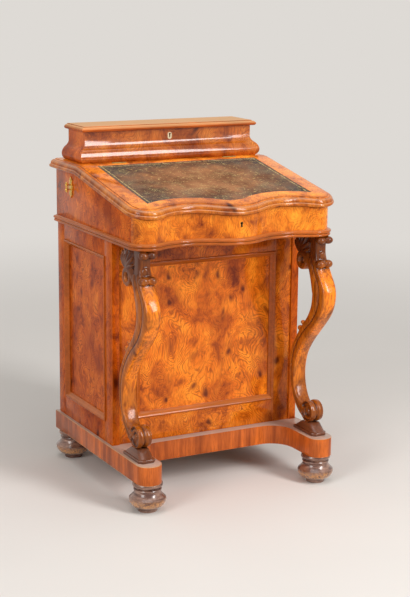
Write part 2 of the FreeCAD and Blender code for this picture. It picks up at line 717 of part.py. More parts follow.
def under_lid():
    """The space under the shelf and the lid, as one tall wedge with a step at the joint."""
    front = LOBE_Y - BEYOND
    back = SHELF_BACK_Y + BEYOND
    profile = outline(
        (front, 0), (back, 0), (back, RIM_UNDER), (JOINT_Y, RIM_UNDER),
        (JOINT_Y, slope_z(JOINT_Y, RIM_THICK) - LID_SEAT), (front, slope_z(front, RIM_THICK) - LID_SEAT),
    )
    return prism_x(profile, -BOX_HALF - BEYOND, BOX_HALF + BEYOND)


def desk_bottom():
    return plan_face(0, BOX_BACK_Y, z=PEDESTAL_TOP).extrude(V(0, 0, BOTTOM_THICK))


def cheek():
    """The right side wall: straight, up to where the front corner begins to round."""
    y0 = serpentine(0)[-1][0].y
    wall = box(BOX_HALF - WALL_THICK, BOX_HALF, y0, BOX_BACK_Y, BOTTOM_TOP, SHELF_TOP)
    return wall.common(under_lid())


def desk_front():
    """The bowed front wall, from one cheek round both corners to the other."""
    y0 = serpentine(0)[-1][0].y
    outer = plan_face(0, y0, z=BOTTOM_TOP).extrude(V(0, 0, BOX_HEIGHT))
    inner = plan_face(-FRONT_WALL, y0 + 1, z=BOTTOM_TOP).extrude(V(0, 0, BOX_HEIGHT))
    wall = outer.cut(inner).common(under_lid())
    wall = wall.cut(keyhole(LOBE_Y, desk_key_z(), FRONT_WALL, LINER_WALL))
    return wall.cut(lock_recess(lock_y(), desk_lock_top(), SHELF_TOP))


def desk_back():
    x = BOX_HALF - WALL_THICK
    return box(-x, x, BOX_BACK_Y - BACK_THICK, BOX_BACK_Y, BOTTOM_TOP, BOARD_UNDER)


def waist_moulding():
    """Double bead planted round the bottom of the desk box."""
    h = WAIST_HEIGHT
    w = WAIST_PROUD
    profile = outline(
        (0, 0), (w - 5, 0), (w - 1.5, h * 0.22, w - 5, h * 0.44), (w - 4.5, h * 0.48),
        (w, h * 0.69, w - 4.5, h * 0.9), (w - 7, h), (0, h),
    )
    runs = edge_moulding(profile, BOX_BACK_Y)
    lengths = [runs["left"], joined(runs["front"]), runs["right"]]
    for length in lengths:
        length.translate(V(0, 0, PEDESTAL_TOP))
    return group(lengths)


def rim_profile():
    """Moulded edge drawn as (outward from the box face, height from the top surface)."""
    tip = RIM_OVERHANG
    flat = tip - RIM_SLANT
    bead = RIM_BEAD / 2
    quirk = 4.5
    return outline(
        (flat, 0), (flat + 4, -1), (flat + 4.5, -2.5),
        (tip - 6.8, -5, tip - quirk + 1, -RIM_TIP_DROP + bead + 1), (tip - quirk, -RIM_TIP_DROP + bead),
        (tip, -RIM_TIP_DROP, tip - quirk, -RIM_TIP_DROP - bead), (tip - 9, -RIM_TIP_DROP - bead - 1),
        (tip - 13, -RIM_THICK), (flat, -RIM_THICK),
    )


def rear_shelf():
    """The fixed top behind the lid, with the moulded edge at both ends."""
    flat = BOX_HALF + RIM_OVERHANG - RIM_SLANT
    y0 = JOINT_Y + JOINT_GAP / 2
    core = box(-flat, flat, y0, SHELF_BACK_Y, RIM_UNDER, SHELF_TOP)
    end = stood(rim_profile(), V(BOX_HALF, y0, SHELF_TOP), V(1, 0, 0), V(0, 0, 1))
    end = end.extrude(V(0, SHELF_BACK_Y - y0, 0))
    shelf = joined([core, end, mirrored(end)])
    inner = BOX_HALF - WALL_THICK
    shelf = shelf.cut(box(-inner, inner, y0 - 1, BOX_BACK_Y, RIM_UNDER - 1, BOARD_UNDER))
    return shelf.cut(hinge_cuts(JOINT_Y, SHELF_TOP, 1, HINGE_LEAF_HEIGHT))


def lid_in_place(shape):
    """Tip a lid drawn level, with its top at z = 0, down about the joint."""
    tipped = shape.copy()
    tipped.rotate(V(0, JOINT_Y, 0), V(1, 0, 0), math.degrees(SLOPE))
    tipped.translate(V(0, 0, SHELF_TOP))
    return tipped


def stretch():
    """How much further forward the level lid reaches than its plan once it slopes."""
    reach = JOINT_Y - (LOBE_Y - RIM_OVERHANG)
    return -reach * (1 / math.cos(SLOPE) - 1)


def slope_lid():
    core = plan_face(RIM_OVERHANG - RIM_SLANT, JOINT_Y + 10, stretch()).extrude(V(0, 0, -RIM_THICK))
    runs = edge_moulding(rim_profile(), JOINT_Y + 10, stretch())
    lid = joined([core, runs["left"], runs["right"]] + runs["front"])
    half = BOX_HALF - WALL_THICK - 1
    pocket = box(-half, half, POCKET_FRONT_Y, JOINT_Y - POCKET_REAR, -RIM_THICK - 1, -BOARD_THICK)
    lid = lid_in_place(lid.cut(pocket))
    side = BOX_HALF + BEYOND
    lid = lid.cut(box(-side, side, JOINT_Y - JOINT_GAP / 2, JOINT_Y + BEYOND, 0, SHELF_TOP + BEYOND))
    lid = lid.cut(leather_solid(LEATHER_RECESS, 0.3))
    lid = lid.cut(mortise(lock_y(), slope_z(lock_y(), RIM_THICK)))
    return lid.cut(hinge_cuts(JOINT_Y, SHELF_TOP, -1, HINGE_LEAF_HEIGHT))


def leather_outline(grow=0.0):
    """Level plan of the writing leather: straight back and sides, serpentine front."""
    margin = -(LEATHER_MARGIN - RIM_OVERHANG) + grow
    half = LEATHER_HALF + grow
    field = plan_face(margin, LEATHER_REAR_Y + grow, stretch())
    sides = Part.Face(Part.makePolygon([
        V(-half, LEATHER_REAR_Y + grow, 0), V(half, LEATHER_REAR_Y + grow, 0),
        V(half, LOBE_Y * 2, 0), V(-half, LOBE_Y * 2, 0), V(-half, LEATHER_REAR_Y + grow, 0),
    ]))
    return field.common(sides)


def leather_solid(depth, grow=0.0):
    face = leather_outline(grow).Faces[0]
    return lid_in_place(face.extrude(V(0, 0, -depth)))


def writing_leather():
    return leather_solid(LEATHER_THICK).common(leather_solid(LEATHER_RECESS))


# ---- Hinges -----------------------------------------------------------------
def hinge_cuts(y, z, side, height):
    """Recesses for the knuckles and for the leaves on one side of a joint."""
    cuts = []
    half = HINGE_LENGTH / 2 + HINGE_CLEARANCE
    for x in (-HINGE_X, HINGE_X):
        cuts.append(Part.makeCylinder(KNUCKLE_R + HINGE_CLEARANCE, 2 * half, V(x - half, y, z), V(1, 0, 0)))
        y0, y1 = sorted((y, y + side * (JOINT_GAP / 2 + HINGE_LEAF)))
        cuts.append(box(x - half, x + half, y0, y1, z - height - KNUCKLE_R - 1, z))
    return group(cuts)


def knuckle(x0, x1, y, z):
    tube = Part.makeCylinder(KNUCKLE_R, x1 - x0, V(x0, y, z), V(1, 0, 0))
    bore = Part.makeCylinder(HINGE_PIN_R + PIN_CLEARANCE, x1 - x0, V(x0, y, z), V(1, 0, 0))
    return tube, bore


def hinge_leaf(moving, height):
    """One leaf of a butt hinge about the X axis, hanging down; the fixed leaf is on the +Y side."""
    length = HINGE_LENGTH
    segment = length / 3
    if moving:
        spans = [(-segment / 2 + LEAF_GAP, segment / 2 - LEAF_GAP)]
    else:
        spans = [(-length / 2, -segment / 2), (segment / 2, length / 2)]
    near = LEAF_GAP / 2
    far = JOINT_GAP / 2 + HINGE_LEAF
    y0, y1 = (-far, -near) if moving else (near, far)
    shapes = [box(-length / 2, length / 2, y0, y1, -KNUCKLE_R - height, -KNUCKLE_R - LEAF_GAP)]
    bores = []
    for x0, x1 in spans:
        tube, bore = knuckle(x0, x1, 0, 0)
        shapes += [tube, box(x0, x1, y0, y1, -KNUCKLE_R - LEAF_GAP, -HINGE_PIN_R)]
        bores.append(bore)
    return joined(shapes).cut(group(bores))


def hinge_pin():
    """A pin through the knuckles with a small domed head at each end."""
    half = HINGE_LENGTH / 2
    pin = Part.makeCylinder(HINGE_PIN_R, 2 * half, V(-half, 0, 0), V(1, 0, 0))
    heads = [Part.makeCylinder(KNUCKLE_R - 0.4, LEAF_GAP, V(half, 0, 0), V(1, 0, 0)),
             Part.makeCylinder(KNUCKLE_R - 0.4, LEAF_GAP, V(-half - LEAF_GAP, 0, 0), V(1, 0, 0))]
    return joined([pin] + heads)


CASE_HINGE_Y = CASE_BACK_Y + KNUCKLE_R
CASE_LEAF = CASE_WALL - 3.0


def at_slope_hinges(shape):
    return [stood(shape, V(x, JOINT_Y, SHELF_TOP), V(1, 0, 0), V(0, 1, 0)) for x in (-HINGE_X, HINGE_X)]


def at_case_hinges(shape):
    return [stood(shape, V(x, CASE_HINGE_Y, CASE_TOP), V(1, 0, 0), V(0, 0, -1)) for x in (-HINGE_X, HINGE_X)]


def fixed_hinge_leaves():
    """Fixed leaves of both lids, each with its pin riveted in."""
    slope = at_slope_hinges(hinge_leaf(False, HINGE_LEAF_HEIGHT)) + at_slope_hinges(hinge_pin())
    case = at_case_hinges(hinge_leaf(False, CASE_LEAF)) + at_case_hinges(hinge_pin())
    return group(slope + case)


def case_hinge_cuts(side):
    """Recesses for the stationery hinges in the top edge (-1) or in the lid (+1)."""
    cuts = []
    half = HINGE_LENGTH / 2 + HINGE_CLEARANCE
    for x in (-HINGE_X, HINGE_X):
        cuts.append(Part.makeCylinder(KNUCKLE_R + HINGE_CLEARANCE, 2 * half,
                                      V(x - half, CASE_HINGE_Y, CASE_TOP), V(1, 0, 0)))
        z0, z1 = sorted((CASE_TOP, CASE_TOP + side * (JOINT_GAP / 2 + HINGE_LEAF)))
        cuts.append(box(x - half, x + half, CASE_HINGE_Y - KNUCKLE_R - CASE_LEAF - 1, CASE_HINGE_Y, z0, z1))
    return group(cuts)


# ---- Locks and keyholes -----------------------------------------------------
def keyhole(face_y, z, depth, grow=0.0):
    """A keyhole through a wall from its front face: a round hole over a slot."""
    r = KEYHOLE_R + grow
    s = KEYHOLE_SLOT / 2 + grow
    hole = Part.makeCylinder(r, depth, V(0, face_y, z + KEYHOLE_DROP / 2), V(0, 1, 0))
    slot = box(-s, s, face_y, face_y + depth, z - KEYHOLE_DROP / 2 - grow, z + KEYHOLE_DROP / 2)
    return joined([hole, slot])


def lock_y():
    """Where the desk lock's bolt slides: in the middle of the lock's thickness."""
    return LOBE_Y + FRONT_WALL - LOCK_INSET + LOCK_THICK / 2


def desk_key_z():
    """Height of the desk's keyhole."""
    return slope_z(lock_y(), RIM_THICK) - DESK_KEY_DROP


def mortise(y, z):
    """A pocket for a lock bolt, up from a surface at height z."""
    x = BOLT_WIDTH / 2 + MORTISE_CLEARANCE
    t = BOLT_THICK / 2 + MORTISE_CLEARANCE
    return box(-x, x, y - t, y + t, z - LOCK_TOP_DROP, z + MORTISE_DEPTH)


def desk_lock_top():
    return slope_z(lock_y() - LOCK_THICK / 2, RIM_THICK) - LOCK_TOP_DROP


CASE_BAND_Y = CASE_FRONT_Y + CASE_BAND_IN
CASE_INNER_Y = CASE_BAND_Y + CASE_WALL
CASE_LOCK_Y = CASE_INNER_Y - LOCK_INSET + LOCK_THICK / 2
CASE_LOCK_TOP = CASE_TOP - JOINT_GAP / 2 - LOCK_TOP_DROP / 2
CASE_KEY_Z = CASE_TOP - 17.0


def lock_recess(y, z_top, z_open):
    """The shallow housing for a lock in the inside of a wall, open up to a height."""
    x = LOCK_WIDTH / 2 + LOCK_CLEARANCE
    y0 = y - LOCK_THICK / 2 - LOCK_CLEARANCE
    return box(-x, x, y0, y + LOCK_THICK / 2, z_top - LOCK_HEIGHT - LOCK_CLEARANCE, z_open)


def lock_case(y, z_top, key_z):
    """A lock body with its middle at y; the bolt slides in a slot that is open at the top."""
    x = LOCK_WIDTH / 2
    t = LOCK_THICK / 2
    body = box(-x, x, y - t, y + t, z_top - LOCK_HEIGHT, z_top)
    slot_x = BOLT_WIDTH / 2 + BOLT_CLEARANCE
    slot_t = BOLT_THICK / 2 + BOLT_CLEARANCE
    slot = box(-slot_x, slot_x, y - slot_t, y + slot_t, z_top - BOLT_LENGTH - 1, z_top)
    return body.cut(slot).cut(keyhole(y - t, key_z, t))


def lock_cases():
    return group([lock_case(lock_y(), desk_lock_top(), desk_key_z()),
                  lock_case(CASE_LOCK_Y, CASE_LOCK_TOP, CASE_KEY_Z)])


def lock_bolt(y, z_top):
    x = BOLT_WIDTH / 2
    t = BOLT_THICK / 2
    return box(-x, x, y - t, y + t, z_top - BOLT_LENGTH, z_top)


def keyhole_escutcheons():
    """A thin liner in the desk's keyhole and a bone plate let into the stationery box."""
    z = desk_key_z()
    liner = keyhole(LOBE_Y, z, LINER_DEPTH, LINER_WALL).cut(keyhole(LOBE_Y, z, LINER_DEPTH))
    liner = liner.common(plan_face(0, 0, z=BOTTOM_TOP).extrude(V(0, 0, BOX_HEIGHT)))
    return group([liner, bone_plate(0.0).cut(keyhole(CASE_BAND_Y - 1, CASE_KEY_Z, BONE_THICK + 2))])


def bone_plate(clearance):
    r = BONE_HALF + clearance
    rise = BONE_HEIGHT / 2 - BONE_HALF
    depth = BONE_THICK + clearance
    centres = [V(0, CASE_BAND_Y, CASE_KEY_Z + dz) for dz in (-rise, rise)]
    ends = [Part.makeCylinder(r, depth, centre, V(0, 1, 0)) for centre in centres]
    middle = box(-r, r, CASE_BAND_Y, CASE_BAND_Y + depth, CASE_KEY_Z - rise, CASE_KEY_Z + rise)
    return joined(ends + [middle])


# ---- Stationery box ---------------------------------------------------------
CASE_WALL_TOP = CASE_TOP - JOINT_GAP / 2


def ogee_profile():
    """Bombe wall drawn as (outward from the foot of the face, height)."""
    inner = -CASE_BAND_IN - CASE_WALL
    band = -CASE_BAND_IN
    z0 = SHELF_TOP
    bulge_z = z0 + CASE_BULGE_Z
    band_z = z0 + CASE_BAND_Z
    middle_z = (bulge_z + band_z) / 2 + 2
    return outline(
        (0, z0), (CASE_BULGE * 0.75, z0 + CASE_BULGE_Z * 0.42, CASE_BULGE, bulge_z),
        (CASE_BULGE * 0.62, (bulge_z + middle_z) / 2 + 1, -CASE_BULGE * 0.15, middle_z),
        (band + 2.2, (middle_z + band_z) / 2 + 1, band, band_z), (band, CASE_WALL_TOP),
        (inner, CASE_WALL_TOP), (inner, z0),
    )


def mitred_region(side):
    """The space of the front (0) or of the right end (1), split along the box's mitres."""
    x = CASE_HALF
    y = CASE_FRONT_Y
    outer = V(x + BEYOND, y - BEYOND, 0)
    inner = V(x - BEYOND, y + BEYOND, 0)
    if side:
        points = [outer, V(outer.x, CASE_BACK_Y, 0), V(inner.x, CASE_BACK_Y, 0), inner]
    else:
        points = [V(-outer.x, outer.y, 0), outer, inner, V(-inner.x, inner.y, 0)]
    return prism_z(Part.Face(Part.makePolygon(points + points[:1])), RIM_UNDER, CASE_TOP + BEYOND)


def stationery_front():
    x = CASE_HALF + CASE_BULGE + 2
    wall = stood(ogee_profile(), V(-x, CASE_FRONT_Y, 0), V(0, -1, 0), V(0, 0, 1)).extrude(V(2 * x, 0, 0))
    wall = wall.common(mitred_region(0))
    wall = wall.cut(lock_recess(CASE_LOCK_Y, CASE_LOCK_TOP, CASE_WALL_TOP))
    return wall.cut(bone_plate(0.1)).cut(keyhole(CASE_BAND_Y, CASE_KEY_Z, CASE_WALL))


def stationery_end():
    """The right end, mitred to the front."""
    y0 = CASE_FRONT_Y - BEYOND
    wall = stood(ogee_profile(), V(CASE_HALF, y0, 0), V(1, 0, 0), V(0, 0, 1))
    return wall.extrude(V(0, CASE_BACK_Y - y0, 0)).common(mitred_region(1))


def case_inner_half():
    return CASE_HALF - CASE_BAND_IN - CASE_WALL


def stationery_back():
    x = case_inner_half()
    wall = box(-x, x, CASE_BACK_Y - CASE_WALL, CASE_BACK_Y, SHELF_TOP, CASE_WALL_TOP)
    return wall.cut(case_hinge_cuts(-1))


def stationery_lid():
    """Flat lid with a thumb-moulded edge that overhangs the front and both ends."""
    z0 = CASE_TOP + JOINT_GAP / 2
    t = CASE_LID_THICK - JOINT_GAP / 2
    half = CASE_HALF - CASE_BAND_IN + CASE_LID_OVERHANG
    y0 = CASE_BAND_Y - CASE_LID_OVERHANG
    strip = CASE_LID_OVERHANG + 2
    profile = outline(
        (0, 0), (-4, 0), (-1, t * 0.18, 0, t * 0.45), (-1.5, t * 0.6), (-3.5, t * 0.75, -8, t * 0.86),
        (-9, t), (-strip, t), (-strip, 0),
    )
    front = stood(profile, V(-half, y0, z0), V(0, -1, 0), V(0, 0, 1)).extrude(V(2 * half, 0, 0))
    side = stood(profile, V(half, y0, z0), V(1, 0, 0), V(0, 0, 1)).extrude(V(0, CASE_BACK_Y - y0, 0))
    right = side.common(mitred_region(1))
    core = box(-half + strip, half - strip, y0 + strip, CASE_BACK_Y, z0, z0 + t)
    lid = joined([core, front.common(mitred_region(0)), right, mirrored(right)])
    return lid.cut(case_hinge_cuts(1)).cut(mortise(CASE_LOCK_Y, z0))


def pen_tray():
    """Long pen trough between two square wells, made of a floor and upright strips."""
    half = case_inner_half() - TRAY_GAP
    y0 = CASE_BACK_Y - CASE_WALL - TRAY_GAP - TRAY_DEPTH
    y1 = y0 + TRAY_DEPTH
    z0 = SHELF_TOP
    floor = z0 + TRAY_WALL
    top = z0 + TRAY_HEIGHT
    w = TRAY_WALL
    pieces = [
        box(-half, half, y0, y1, z0, floor),
        box(-half, half, y0, y0 + w, floor, top),
        box(-half, half, y1 - w, y1, floor, top),
    ]
    for x in (-half, -half + w + INKWELL, half - 2 * w - INKWELL, half - w):
        pieces.append(box(x, x + w, y0 + w, y1 - w, floor, top))
    return group(pieces)


# ---- Interior drawers -------------------------------------------------------
NEST_FRONT_Y = JOINT_Y + 4.0
NEST_BACK_Y = BOX_BACK_Y - BACK_THICK
NEST_HALF = BOX_HALF - WALL_THICK


def interior_drawer_case():
    """Top board and three uprights round two small drawers, on the desk bottom."""
    t = NEST_BOARD
    z1 = BOTTOM_TOP + NEST_HEIGHT
    y0 = NEST_FRONT_Y
    y1 = NEST_BACK_Y
    return group([
        box(-NEST_HALF, NEST_HALF, y0, y1, z1 - t, z1),
        box(-NEST_HALF, -NEST_HALF + t, y0, y1, BOTTOM_TOP, z1 - t),
        box(-t / 2, t / 2, y0, y1, BOTTOM_TOP, z1 - t),
        box(NEST_HALF - t, NEST_HALF, y0, y1, BOTTOM_TOP, z1 - t),
    ])


def interior_drawer():
    """The right small drawer with its turned knob."""
    g = INNER_GAP
    s = INNER_SIDE
    x0 = NEST_BOARD / 2 + g
    x1 = NEST_HALF - NEST_BOARD - g
    z0 = BOTTOM_TOP + g
    z1 = BOTTOM_TOP + NEST_HEIGHT - NEST_BOARD - g
    y0 = NEST_FRONT_Y
    y1 = NEST_BACK_Y - g
    side_top = z1 - s
    floor = z0 + INNER_BOTTOM
    face_y = y0 + INNER_FRONT
    at = V((x0 + x1) / 2, y0, (z0 + z1) / 2)
    knob = turned_knob(INNER_KNOB_R, INNER_KNOB_R / 2, INNER_KNOB_PROUD, 0, 0)
    return group([
        box(x0, x1, y0, face_y, z0, z1),
        box(x0, x1, face_y, y1, z0, floor),
        box(x0, x0 + s, face_y, y1, floor, side_top),
        box(x1 - s, x1, face_y, y1, floor, side_top),
        box(x0 + s, x1 - s, y1 - s, y1, floor, side_top),
        stood(knob, at, V(1, 0, 0), V(0, -1, 0)).revolve(at, V(0, 1, 0), 360),
    ])


# ---- Candle bracket ---------------------------------------------------------
def swivel_x():
    return -BOX_HALF - BRACKET_PLATE - LUG_REACH + LUG_R - SWIVEL_OUT


def candle_plate():
    """Waisted plate with a pointed finial at each end and two lugs that hold the swivel."""
    h = BRACKET_HEIGHT / 2
    w = BRACKET_HALF
    half = [(w, 4), (w * 0.55, h * 0.45), (w * 0.8, h * 0.62), (w * 0.3, h * 0.8), (0, h)]
    right = [V(y, z, 0) for y, z in half]
    top = right + [V(-p.x, p.y, 0) for p in reversed(right[:-1])]
    points = top + [V(-p.x, -p.y, 0) for p in top]
    face = Part.Face(Part.makePolygon(points + points[:1]))
    x = -BOX_HALF - BRACKET_PLATE
    plate = stood(face, V(x, BRACKET_Y, BRACKET_Z), V(0, 1, 0), V(0, 0, 1)).extrude(V(BRACKET_PLATE, 0, 0))
    shapes = [plate]
    axis_x = swivel_x()
    for z in (BRACKET_Z - LUG_GAP / 2 - LUG_THICK, BRACKET_Z + LUG_GAP / 2):
        shapes.append(box(axis_x, x, BRACKET_Y - LUG_R, BRACKET_Y + LUG_R, z, z + LUG_THICK))
        shapes.append(Part.makeCylinder(LUG_R, LUG_THICK, V(axis_x, BRACKET_Y, z)))
    bore = Part.makeCylinder(SWIVEL_R + PIN_CLEARANCE, BRACKET_HEIGHT, V(axis_x, BRACKET_Y, BRACKET_Z - h))
    return joined(shapes).cut(bore)


def candle_swivel():
    """A loose pin with a ball at each end, free to turn in the lugs."""
    reach = LUG_GAP / 2 + LUG_THICK + RUN_CLEARANCE
    r = SWIVEL_BALL_R
    upper = [(SWIVEL_R, reach), (r, reach + r * 0.5), (r, reach + r * 1.2), (r * 0.4, reach + r * 1.8)]
    lower = [(radius, -height) for radius, height in reversed(upper)]
    profile = outline(*lower, *upper, (0, upper[-1][1]), (0, lower[0][1]))
    return turned(profile, swivel_x(), BRACKET_Y, BRACKET_Z)


def parts():
    """Every sub-part by its name."""
    runner = base_runner()
    wall = cheek()
    end = stationery_end()
    inner = interior_drawer()
    found = {
        "base_left_runner": mirrored(runner),
        "base_right_runner": runner,
        "base_front_rail": base_front_rail(),
        "base_rear_rail": base_rear_rail(),
        "foot_front_left": foot(-FOOT_X, FOOT_FRONT_Y),
        "foot_front_right": foot(FOOT_X, FOOT_FRONT_Y),
        "foot_rear_left": foot(-FOOT_X, FOOT_REAR_Y),
        "foot_rear_right": foot(FOOT_X, FOOT_REAR_Y),
        "plinth_block_left": plinth_block(-SUPPORT_X),
        "plinth_block_right": plinth_block(SUPPORT_X),
        "scroll_support_left": scroll_support(-SUPPORT_X),
        "scroll_support_right": scroll_support(SUPPORT_X),
        "front_frame": front_frame(),
        "front_panel": front_panel(),
        "front_panel_moulding": front_panel_moulding(),
        "left_side_frame": left_side_frame(),
        "left_side_panel": left_side_panel(),
        "left_side_moulding": left_side_moulding(),
        "right_side_frame": right_side_frame(),
        "back_panel": back_panel(),
        "dust_boards": dust_boards(),
        "desk_bottom": desk_bottom(),
        "desk_left_cheek": mirrored(wall),
        "desk_right_cheek": wall,
        "desk_front": desk_front(),
        "desk_back": desk_back(),
        "waist_moulding": waist_moulding(),
        "rear_shelf": rear_shelf(),
        "slope_lid": slope_lid(),
        "writing_leather": writing_leather(),
        "interior_drawer_case": interior_drawer_case(),
        "interior_drawer_left": mirrored(inner),
        "interior_drawer_right": inner,
        "stationery_front": stationery_front(),
        "stationery_left_end": mirrored(end),
        "stationery_right_end": end,
        "stationery_back": stationery_back(),
        "stationery_lid": stationery_lid(),
        "pen_tray": pen_tray(),
        "fixed_hinge_leaves": fixed_hinge_leaves(),
        "slope_hinge_leaves": group(at_slope_hinges(hinge_leaf(True, HINGE_LEAF_HEIGHT))),
        "stationery_hinge_leaves": group(at_case_hinges(hinge_leaf(True, CASE_LEAF))),
        "lock_cases": lock_cases(),
        "desk_lock_bolt": lock_bolt(lock_y(), desk_lock_top()),
        "stationery_lock_bolt": lock_bolt(CASE_LOCK_Y, CASE_LOCK_TOP),
        "keyhole_escutcheons": keyhole_escutcheons(),
        "candle_plate": candle_plate(),
        "candle_swivel": candle_swivel(),
    }
    for number in range(1, DRAWER_COUNT + 1):
        found[f"drawer_{number}_front"] = drawer_front(number)
        found[f"drawer_{number}_box"] = drawer_box(number)
        found[f"drawer_{number}_knobs"] = drawer_knobs(number)
    return found


def main():
    os.makedirs("parts", exist_ok=True)
    for name, shape in parts().items():
        shape.exportStep(f"parts/{name}.step")


if __name__ == "__main__":
    main()
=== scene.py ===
"""Davenport desk: the finished woodwork, carving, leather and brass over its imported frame."""

import json
import math

import bmesh
import bpy
from bpy.props import FloatProperty, FloatVectorProperty, IntProperty, PointerProperty
from mathutils import Matrix, Vector


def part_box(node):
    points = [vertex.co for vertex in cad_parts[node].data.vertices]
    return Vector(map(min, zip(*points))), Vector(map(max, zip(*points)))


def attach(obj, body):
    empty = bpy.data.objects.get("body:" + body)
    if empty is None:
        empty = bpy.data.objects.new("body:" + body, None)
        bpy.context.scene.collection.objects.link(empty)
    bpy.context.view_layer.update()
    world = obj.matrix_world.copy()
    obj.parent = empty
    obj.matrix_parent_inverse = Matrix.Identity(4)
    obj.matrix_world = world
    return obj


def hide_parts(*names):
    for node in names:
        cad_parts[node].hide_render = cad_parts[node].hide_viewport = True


bl_info = {
    "name": "Davenport Desk",
    "version": (1, 0, 0),
    "blender": (4, 5, 0),
    "location": "3D View > Sidebar > Desk",
    "description": "Builds a davenport desk's carving, mouldings, veneers, leather and brass",
    "category": "Object",
}

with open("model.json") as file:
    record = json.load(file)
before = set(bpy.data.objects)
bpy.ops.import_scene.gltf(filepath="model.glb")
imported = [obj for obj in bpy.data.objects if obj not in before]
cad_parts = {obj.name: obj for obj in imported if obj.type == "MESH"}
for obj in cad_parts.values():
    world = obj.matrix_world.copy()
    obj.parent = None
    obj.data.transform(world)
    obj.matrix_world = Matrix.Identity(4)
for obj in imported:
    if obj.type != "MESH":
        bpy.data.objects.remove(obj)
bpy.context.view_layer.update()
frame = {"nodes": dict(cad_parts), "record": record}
MM = 0.001
SIDES = (-1, 1)


# ---- Colours ----------------------------------------------------------------
def linear(code):
    """A written sRGB colour as the linear colour that shaders use."""
    channels = [int(code[i:i + 2], 16) / 255 for i in (1, 3, 5)]
    return tuple(c / 12.92 if c <= 0.04045 else ((c + 0.055) / 1.055) ** 2.4 for c in channels)


def darker(colour, share):
    return tuple(c * share for c in colour)


def colour_property(name, words, code):
    return FloatVectorProperty(name=name, description=words, subtype="COLOR", size=3, min=0, max=1,
                               default=linear(code))


def length_property(name, words, millimetres):
    return FloatProperty(name=name, description=words, unit="LENGTH", min=0, default=millimetres * MM)


def strength_property(name, words, value):
    return FloatProperty(name=name, description=words, min=0, default=value)


# ---- What a user would change -----------------------------------------------
class DESK_PG_finish(bpy.types.PropertyGroup):
    """Colours of the woods, the leather and the brass."""

    burr_light: colour_property("Burr light", "Lightest figure of the burr veneer", "#F29A2E")
    burr_middle: colour_property("Burr middle", "Main colour of the burr veneer", "#DB7A1C")
    burr_shade: colour_property("Burr shade", "Growth lines and shaded parts of the burr veneer", "#843A12")
    burr_dark: colour_property("Burr dark", "Knots of the burr veneer", "#3F180C")
    side_light: colour_property("Side light", "Lighter grain of the back boards", "#B65D22")
    side_dark: colour_property("Side dark", "Darker grain of the back boards", "#7E3A16")
    moulding: colour_property("Moulding", "Polished mouldings", "#C6661E")
    carving_light: colour_property("Carving light", "Rubbed high parts of the carving", "#EE8418")
    # Also the painted shadow on the head of each support.
    carving_dark: colour_property("Carving dark", "Hollows of the carving", "#40180C")
    foot_dark: colour_property("Foot dark", "Dark stain of the feet", "#532919")
    foot_bare: colour_property("Foot bare", "Bare wood under the bulge of the feet", "#C98B4E")
    # Grey wear on the feet, partly a painted sheen in pale streaks.
    foot_worn: colour_property("Foot worn", "Grey wear on the feet", "#BE937C")
    dull_wood: colour_property("Dull wood", "Plinth blocks under the supports, and knobs", "#7C4830")
    base_light: colour_property("Base light", "Light stripes of the cross banded base", "#E47830")
    base_dark: colour_property("Base dark", "Dark stripes of the cross banded base", "#843A18")
    # Dust on the top of the base, with a painted sheen of light from above.
    dust: colour_property("Dusty top", "Faded top surface of the base", "#B5A396")
    # Painted sheen of light from above on the upper faces of the mouldings, with some fading.
    faded: colour_property("Faded edge", "Faded upper faces of the mouldings", "#C4763E")
    case_top: colour_property("Case top", "Faded top of the stationery box", "#DDB07C")
    # Worn pale edges, partly a painted highlight along them; also the painted highlight on the lid's upper rounds.
    worn_arris: colour_property("Worn arris", "Pale wood along rubbed edges", "#DDB08A")
    leather_middle: colour_property("Leather middle", "Rubbed middle of the leather", "#996845")
    leather_edge: colour_property("Leather edge", "Grey brown near the edges of the leather", "#504540")
    gilt: colour_property("Gilt", "Traces of gold on the leather", "#EBCF8A")
    brass: colour_property("Brass", "Polished brass of the bracket", "#F2C465")
    patina: colour_property("Patina", "Darkened brass of the hinges and locks", "#7C6238")
    bone: colour_property("Bone", "Bone keyhole plate", "#D9C9A3")
    pine: colour_property("Pine", "Unpolished inside boards", "#B98F5E")
    maple: colour_property("Maple", "Pale wood of the small fittings", "#C79A5E")


class DESK_PG_joinery(bpy.types.PropertyGroup):
    """Edges of the woodwork."""

    arris: length_property("Arris", "Width of the rounded edge on boards and rails", 0.9)
    base_arris: length_property("Base arris", "Width of the rubbed edge round the base", 1.8)
    smooth_angle: FloatProperty(name="Smooth angle", subtype="ANGLE", default=math.radians(32),
                                description="Faces that meet at less than this look like one curve")


class DESK_PG_supports(bpy.types.PropertyGroup):
    """Carving of the scroll supports."""

    relief: length_property("Relief", "Depth of the spiral cut in each volute", 6.0)
    turns: FloatProperty(name="Turns", description="Turns of the spiral in each volute", default=1.2, min=0.5)
    lobe_groove: length_property("Lobe groove", "Depth of the groove round the lower volute", 4.5)
    vein: length_property("Vein", "Half the width of a leaf's lobe", 4.4)
    carving_grid: length_property("Carving grid", "Finest detail kept in the carving", 1.5)


class DESK_PG_hardware(bpy.types.PropertyGroup):
    """Feet, knobs and screws."""

    turning_steps: IntProperty(name="Turning steps", description="Steps round a turned piece", default=72, min=12)
    screw_radius: length_property("Screw radius", "Head radius of the small brass screws", 2.2)
    screw_dome: length_property("Screw dome", "Height of a screw's domed head", 0.8)
    screw_slot: length_property("Screw slot", "Width of a screw's slot", 0.6)


class DESK_PG_stage(bpy.types.PropertyGroup):
    """Floor and light."""

    floor: colour_property("Floor", "Plain pale floor and backdrop", "#DEDAD5")
    key: strength_property("Key light", "Power of the large lamp at the front", 124)
    top: strength_property("Top light", "Power of the wide lamp above", 38)
    fill: strength_property("Fill light", "Power of the lamp at the left", 64)
    sky: strength_property("Sky", "Strength of the light from all round", 0.42)


# ---- Shader nodes -----------------------------------------------------------
BLACK = (0.0, 0.0, 0.0)
WHITE = (1.0, 1.0, 1.0)
MIX_A, MIX_B, MIX_RESULT = 6, 7, 2  # a Mix node's colour sockets
X, Y, Z = 0, 1, 2


